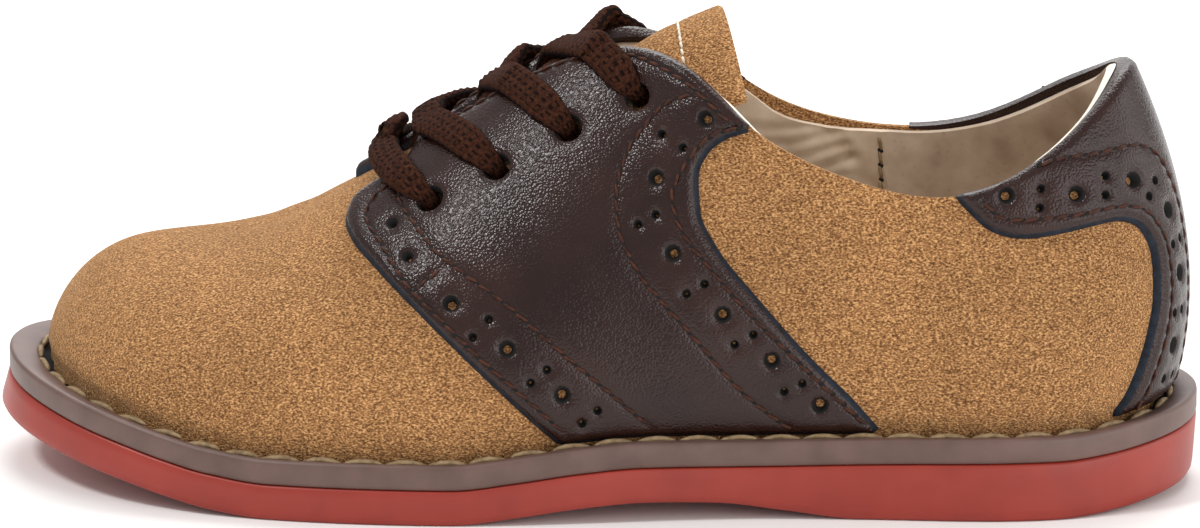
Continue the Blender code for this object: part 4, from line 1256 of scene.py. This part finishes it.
# %% Lace braid
def braid(path, normals, widths):
    """Rings of points of a braided flat lace along a path, with slanting strands in columns."""
    path, normals = smooth_line(path, LACE_STEPS), smooth_line(normals, LACE_STEPS)
    widths = smooth_line(widths[:, None], LACE_STEPS)[:, 0]
    along = np.gradient(path, axis=0)
    way = np.concatenate([[0.0], np.cumsum(np.linalg.norm(along, axis=1))])[:-1]
    along = unit(along)
    across = unit(np.cross(along, normals))
    upward = np.cross(across, along)
    turn = np.linspace(0.0, 2.0 * math.pi, LACE_SIDES, endpoint=False)
    side = np.sign(np.cos(turn)) * np.abs(np.cos(turn)) ** 0.75
    rise = np.sign(np.sin(turn)) * np.abs(np.sin(turn)) ** 0.75
    column = (side + 1.0) / 2.0 * BRAID_COLUMNS
    in_column = column % 1.0
    slanted = np.where(np.floor(column) % 2 == 0, in_column, 1.0 - in_column)
    strands = 0.5 + 0.5 * np.cos(2.0 * math.pi * (way[:, None] / BRAID_PITCH + slanted[None, :]))
    rounded = np.sin(math.pi * in_column)[None, :] ** 0.6
    raised = BRAID_DEPTH * (strands * 0.6 + 0.4) * rounded - BRAID_DEPTH / 2.0
    wide = widths[:, None] * LACE_WIDTH / 2.0 * side[None, :]
    # where the lace is squeezed narrow it grows thicker
    thick = (1.35 - 0.35 * widths[:, None]) * LACE_THICKNESS / 2.0 * rise[None, :]
    thick = thick + raised * np.sign(rise)[None, :]
    rings = path[:, None] + wide[..., None] * across[:, None] + thick[..., None] * upward[:, None]
    # the low places between the strands are marked for painted shade
    return rings, raised < -0.2 * BRAID_DEPTH


def add_lace(name, braids, nodes):
    """One piece from some braids, with painted shade in the gaps between their strands."""
    points, faces, gaps, start = [], [], [], 0
    for rings, low in braids:
        count = len(rings)
        faces += [tuple(face + start) for face in grid_faces(count, LACE_SIDES, closed=True)[:, ::-1]]
        faces.append(tuple(range(start, start + LACE_SIDES)))
        last = start + (count - 1) * LACE_SIDES
        faces.append(tuple(range(last + LACE_SIDES - 1, last - 1, -1)))
        gaps += [*low[:-1].ravel(), False, False]
        points.append(rings.reshape(-1, 3))
        start += count * LACE_SIDES
    add_piece(
        name, np.concatenate(points), faces, [brown_cotton, braid_gap_shade], "brown_cotton", nodes,
        np.array(gaps), sharp=70.0,
    )


# %% Lace
near = strand(EYELETS[0], BAR_FORWARD, BAR_LIFT, False, True)
far = strand(EYELETS[0], BAR_FORWARD, BAR_LIFT, True, True)
bar = [np.concatenate([part, other[-2::-1]]) for part, other in zip(near, far)]
add_lace("lace_bar_braid", [braid(*bar)], ["lace_bar"])
for number, eyelet in enumerate(EYELETS[1:], 1):
    braids = []
    top = CROSS_TOPS[number - 1]
    for mirrored, lift in ((False, top), (True, top - CROSS_DROP)):
        path, normals, widths = strand(eyelet, CROSS_FORWARD, lift, mirrored, False)
        onward = unit((path[-1] - path[-2]) * (1.0, 1.0, 0.0))
        other_edge = facing_point(eyelet[0] - CROSS_FORWARD, 0.0, 0.0, not mirrored)[0]
        half_gap = abs(other_edge[1] - path[-1][1]) / abs(onward[1])
        beyond = path[-1] + 0.5 * half_gap * onward + (0.0, 0.0, -0.9)
        under = path[-1] + 0.95 * half_gap * onward + (0.0, 0.0, -lift - 2.8)
        path = np.concatenate([path, [beyond, under]])
        normals = np.concatenate([normals, [normals[-1] + 0.3 * onward, normals[-1] + 1.2 * onward]])
        widths = np.concatenate([widths, [1.0, 0.9]])
        braids.append(braid(path, normals, widths))
    add_lace(f"lace_cross_{number}_braid", braids, [f"lace_cross_{number}"])

# %% [markdown]
# ## Welt, outsole and insole
# The welt is a strip of rubber that stands out round the upper, with a channel at its inner
# edge for the long stitches that hold it. It is a profile swept round the feather edge. The
# outsole is the red body under it, with an arch, a low heel and a shallow moulded tread.

# %% Sweeps round the sole
SWEEP = 24
sole_loops = np.arange(LOOP * SWEEP) / SWEEP


def outline_at(ledge, at=sole_loops):
    """The feather edge moved outwards by this much."""
    x, y = feather_edge(at)
    along = unit(np.stack(feather_edge(at + STEP), -1) - np.stack(feather_edge(at - STEP), -1))
    return x + along[:, 1] * ledge, y - along[:, 0] * ledge


def sweep_row(ledge, height, drop):
    x, y = outline_at(ledge)
    return np.stack([x, y, height(x) - drop], -1)


full_ledge = smooth_loop(LEDGE, sole_loops)
WELT_PROFILE = (
    # share of the ledge, millimetres added, drop below the welt's top
    (0.0, -2.5, 1.6), (0.0, -0.4, 1.6), (0.0, 0.5, 1.45), (0.0, 1.0, 0.9), (0.0, 1.35, 0.25),
    (0.0, 1.75, 0.0), (1.0, -0.75, 0.0), (1.0, -0.35, 0.12), (1.0, -0.1, 0.38), (1.0, 0.0, 0.8),
    (1.0, 0.0, 2.2), (1.0, 0.0, 3.3), (1.0, -0.12, 3.75), (1.0, -0.5, 3.95), (1.0, -3.0, 3.95),
)
rows = [sweep_row(share * full_ledge + more, welt_top, drop) for share, more, drop in WELT_PROFILE]
welt_faces = grid_faces(len(rows), len(sole_loops), closed=True)[:, ::-1]
# the welt's channel is coloured with painted shade
in_channel = welt_faces.min(1) // len(sole_loops) < 3
add_piece(
    "welt_strip", np.array(rows), welt_faces, [brown_rubber, hole_and_channel_shade], "brown_rubber", ["welt"],
    in_channel, sharp=60.0,
)

# %% Welt stitches
# how far out from the feather edge the thread lies, and how far below the welt's top
THREAD_OUT, THREAD_DROP = 1.05, 0.45
stitch_way = np.linspace(0.0, feather_way[-1], 2 * stitch_count + 1)
stitch_loops = np.interp(stitch_way, feather_way, round_loops)
stitch_height = welt_top(feather_edge(stitch_loops)[0]) - THREAD_DROP
spots = np.stack([*outline_at(THREAD_OUT, stitch_loops), stitch_height], -1)
middles = spots[1::2]
stitches(
    "welt_stitches", middles, spots[2::2] - spots[:-2:2], np.tile((0.0, 0.0, 1.0), (len(middles), 1)),
    capsule(WELT_STITCH * 0.98, 1.0, 0.9, 0.6), 0.05, welt_thread, "brown_rubber",
)

# %% Sole tables
flare = steady_curve(*FLARE.T, outline_at(full_ledge)[0])
SOLE_SIDE = (
    # share of the way down, inset
    (0.0, 3.0), (0.0, 0.5), (0.02, 0.14), (0.07, 0.0), (0.3, 0.0), (0.55, 0.0), (0.8, 0.0),
    (0.92, 0.08), (0.98, 0.35),
)
TREAD_STRIPS = 64
TREAD_DEPTH, TREAD_PITCH = 0.7, 5.2
# the tread keeps away from the rim, from both ends and from the middle of the arch
TREAD_RIM, TREAD_END, ARCH_X, ARCH_HALF, TREAD_SLOPE = 4.0, 84.0, 12.0, 20.0, 0.8
count = len(sole_loops)
half = count // 2
lateral, medial_side = np.arange(half + 1), (count - np.arange(half + 1)) % count


def across_sole(edge_x, edge_y, strips):
    """A grid of x and y from each lateral edge point to the medial one across, and its shares."""
    shares = np.linspace(0.0, 1.0, strips + 1)[None, :]
    return *(
        edge[lateral][:, None] + (edge[medial_side] - edge[lateral])[:, None] * shares
        for edge in (edge_x, edge_y)
    ), shares


# %% Outsole
rows = []
for share, inset in SOLE_SIDE:
    x, y = outline_at(full_ledge + share * flare - inset)
    high, low = rubber_top(x), ground_height(x)
    rows.append(np.stack([x, y, high + (low - high) * share], -1))
side_points = np.array(rows)
low_x, low_y = outline_at(full_ledge + flare - 0.7)
bed_x, bed_y, shares = across_sole(low_x, low_y, TREAD_STRIPS)
from_edge = np.minimum(shares, 1.0 - shares) * np.abs(low_y[medial_side] - low_y[lateral])[:, None]
waves = np.sin(2.0 * math.pi * (bed_x + 2.2 * np.sin(bed_y / 3.2)) / TREAD_PITCH)
tread = TREAD_DEPTH * np.clip(waves * 2.0, 0.0, 1.0)
for inside in (from_edge - TREAD_RIM, TREAD_END - np.abs(bed_x), np.abs(bed_x - ARCH_X) - ARCH_HALF):
    tread = tread * ramp(inside, 0.0, TREAD_SLOPE)
bed = np.stack([bed_x, bed_y, ground_height(bed_x) + tread], -1)
first = len(rows) * count
side_faces = grid_faces(len(rows), count, closed=True)[:, ::-1]
bed_faces = grid_faces(half + 1, TREAD_STRIPS + 1) + first
rim_top = first - count + np.concatenate([lateral, medial_side[-2:0:-1]])
rim_low = first + np.concatenate([
    np.arange(half + 1) * (TREAD_STRIPS + 1),
    np.arange(half - 1, 0, -1) * (TREAD_STRIPS + 1) + TREAD_STRIPS,
])
joint = np.stack([rim_low, np.roll(rim_low, -1), np.roll(rim_top, -1), rim_top], 1)
add_piece(
    "outsole_rubber", np.concatenate([side_points.reshape(-1, 3), bed.reshape(-1, 3)]),
    np.concatenate([side_faces, bed_faces, joint]), [red_rubber], "red_rubber", ["outsole"], sharp=60.0,
)

# %% Insole
BED_STRIPS = 24
BED_HOLLOW = 0.7
bed_x, bed_y, shares = across_sole(*outline_at(-(UPPER_WALL + 0.5)), BED_STRIPS)
hollow = 4.0 * shares * (1.0 - shares)
bed_z = welt_top(bed_x) + SEAT_GAP + INSOLE_THICKNESS - BED_HOLLOW * hollow**0.5
add_piece(
    "insole_sock", np.stack([bed_x, bed_y, bed_z], -1), grid_faces(half + 1, BED_STRIPS + 1)[:, ::-1],
    [pigskin], "lining_leather", ["insole"],
)

# %% [markdown]
# ## Floor and light
# A pale floor and five soft lights stand in for a product table. A small key light above the toe
# gives the leather its sparks. A wide one above and behind and a bright backdrop rim the collar,
# a card lights the heel, and a large weak fill opens the shadows on the outer side.

# %% Floor
def make_floor():
    finish, tree, shader, place = new_finish("pale studio floor", roughness=0.9)
    # painted board, with clouds a third of a metre wide
    tone = two_tones(tree, noise(tree, place, 1000.0 / 3.0, 2.0), "#F3F2F0", "#F8F7F5", 0.0, 1.0)
    tree.links.new(tone.outputs[0], shader.inputs["Base Color"])
    reach = 6.0
    corners = [(-reach, -reach, 0), (reach, -reach, 0), (reach, reach, 0), (-reach, reach, 0)]
    mesh = bpy.data.meshes.new("floor")
    mesh.from_pydata(corners, [], [(0, 1, 2, 3)])
    mesh.materials.append(finish)
    floor = bpy.data.objects.new("floor", mesh)
    bpy.context.scene.collection.objects.link(floor)


make_floor()

# %% Lights
LIGHTS = (
    # name, place, size, watts
    ("key soft box", (-0.64, -0.38, 1.07), 0.22, 7.0),
    ("top soft box", (0.0, 0.75, 1.15), 1.0, 15.0),
    ("backdrop", (0.2, 1.5, 0.5), 2.0, 10.0),
    ("heel card", (1.2, 0.1, 0.35), 0.8, 4.0),
    ("front fill", (1.25, -1.2, 0.4), 1.3, 13.5),
)
for name, place, size, watts in LIGHTS:
    data = bpy.data.lights.new(name, "AREA")
    data.size = size
    data.energy = watts
    lamp = bpy.data.objects.new(name, data)
    lamp.location = place
    lamp.rotation_euler = (LOOK_AT - Vector(place)).to_track_quat("-Z", "Y").to_euler()
    bpy.context.scene.collection.objects.link(lamp)
WORLD_STRENGTH = 0.55
world = bpy.data.worlds.new("white surroundings")
world.use_nodes = True
background = world.node_tree.nodes["Background"]
background.inputs["Color"].default_value = (1.0, 1.0, 1.0, 1.0)
background.inputs["Strength"].default_value = WORLD_STRENGTH
bpy.context.scene.world = world
bpy.context.scene.view_settings.view_transform = "Standard"
print("lights:", len(LIGHTS))
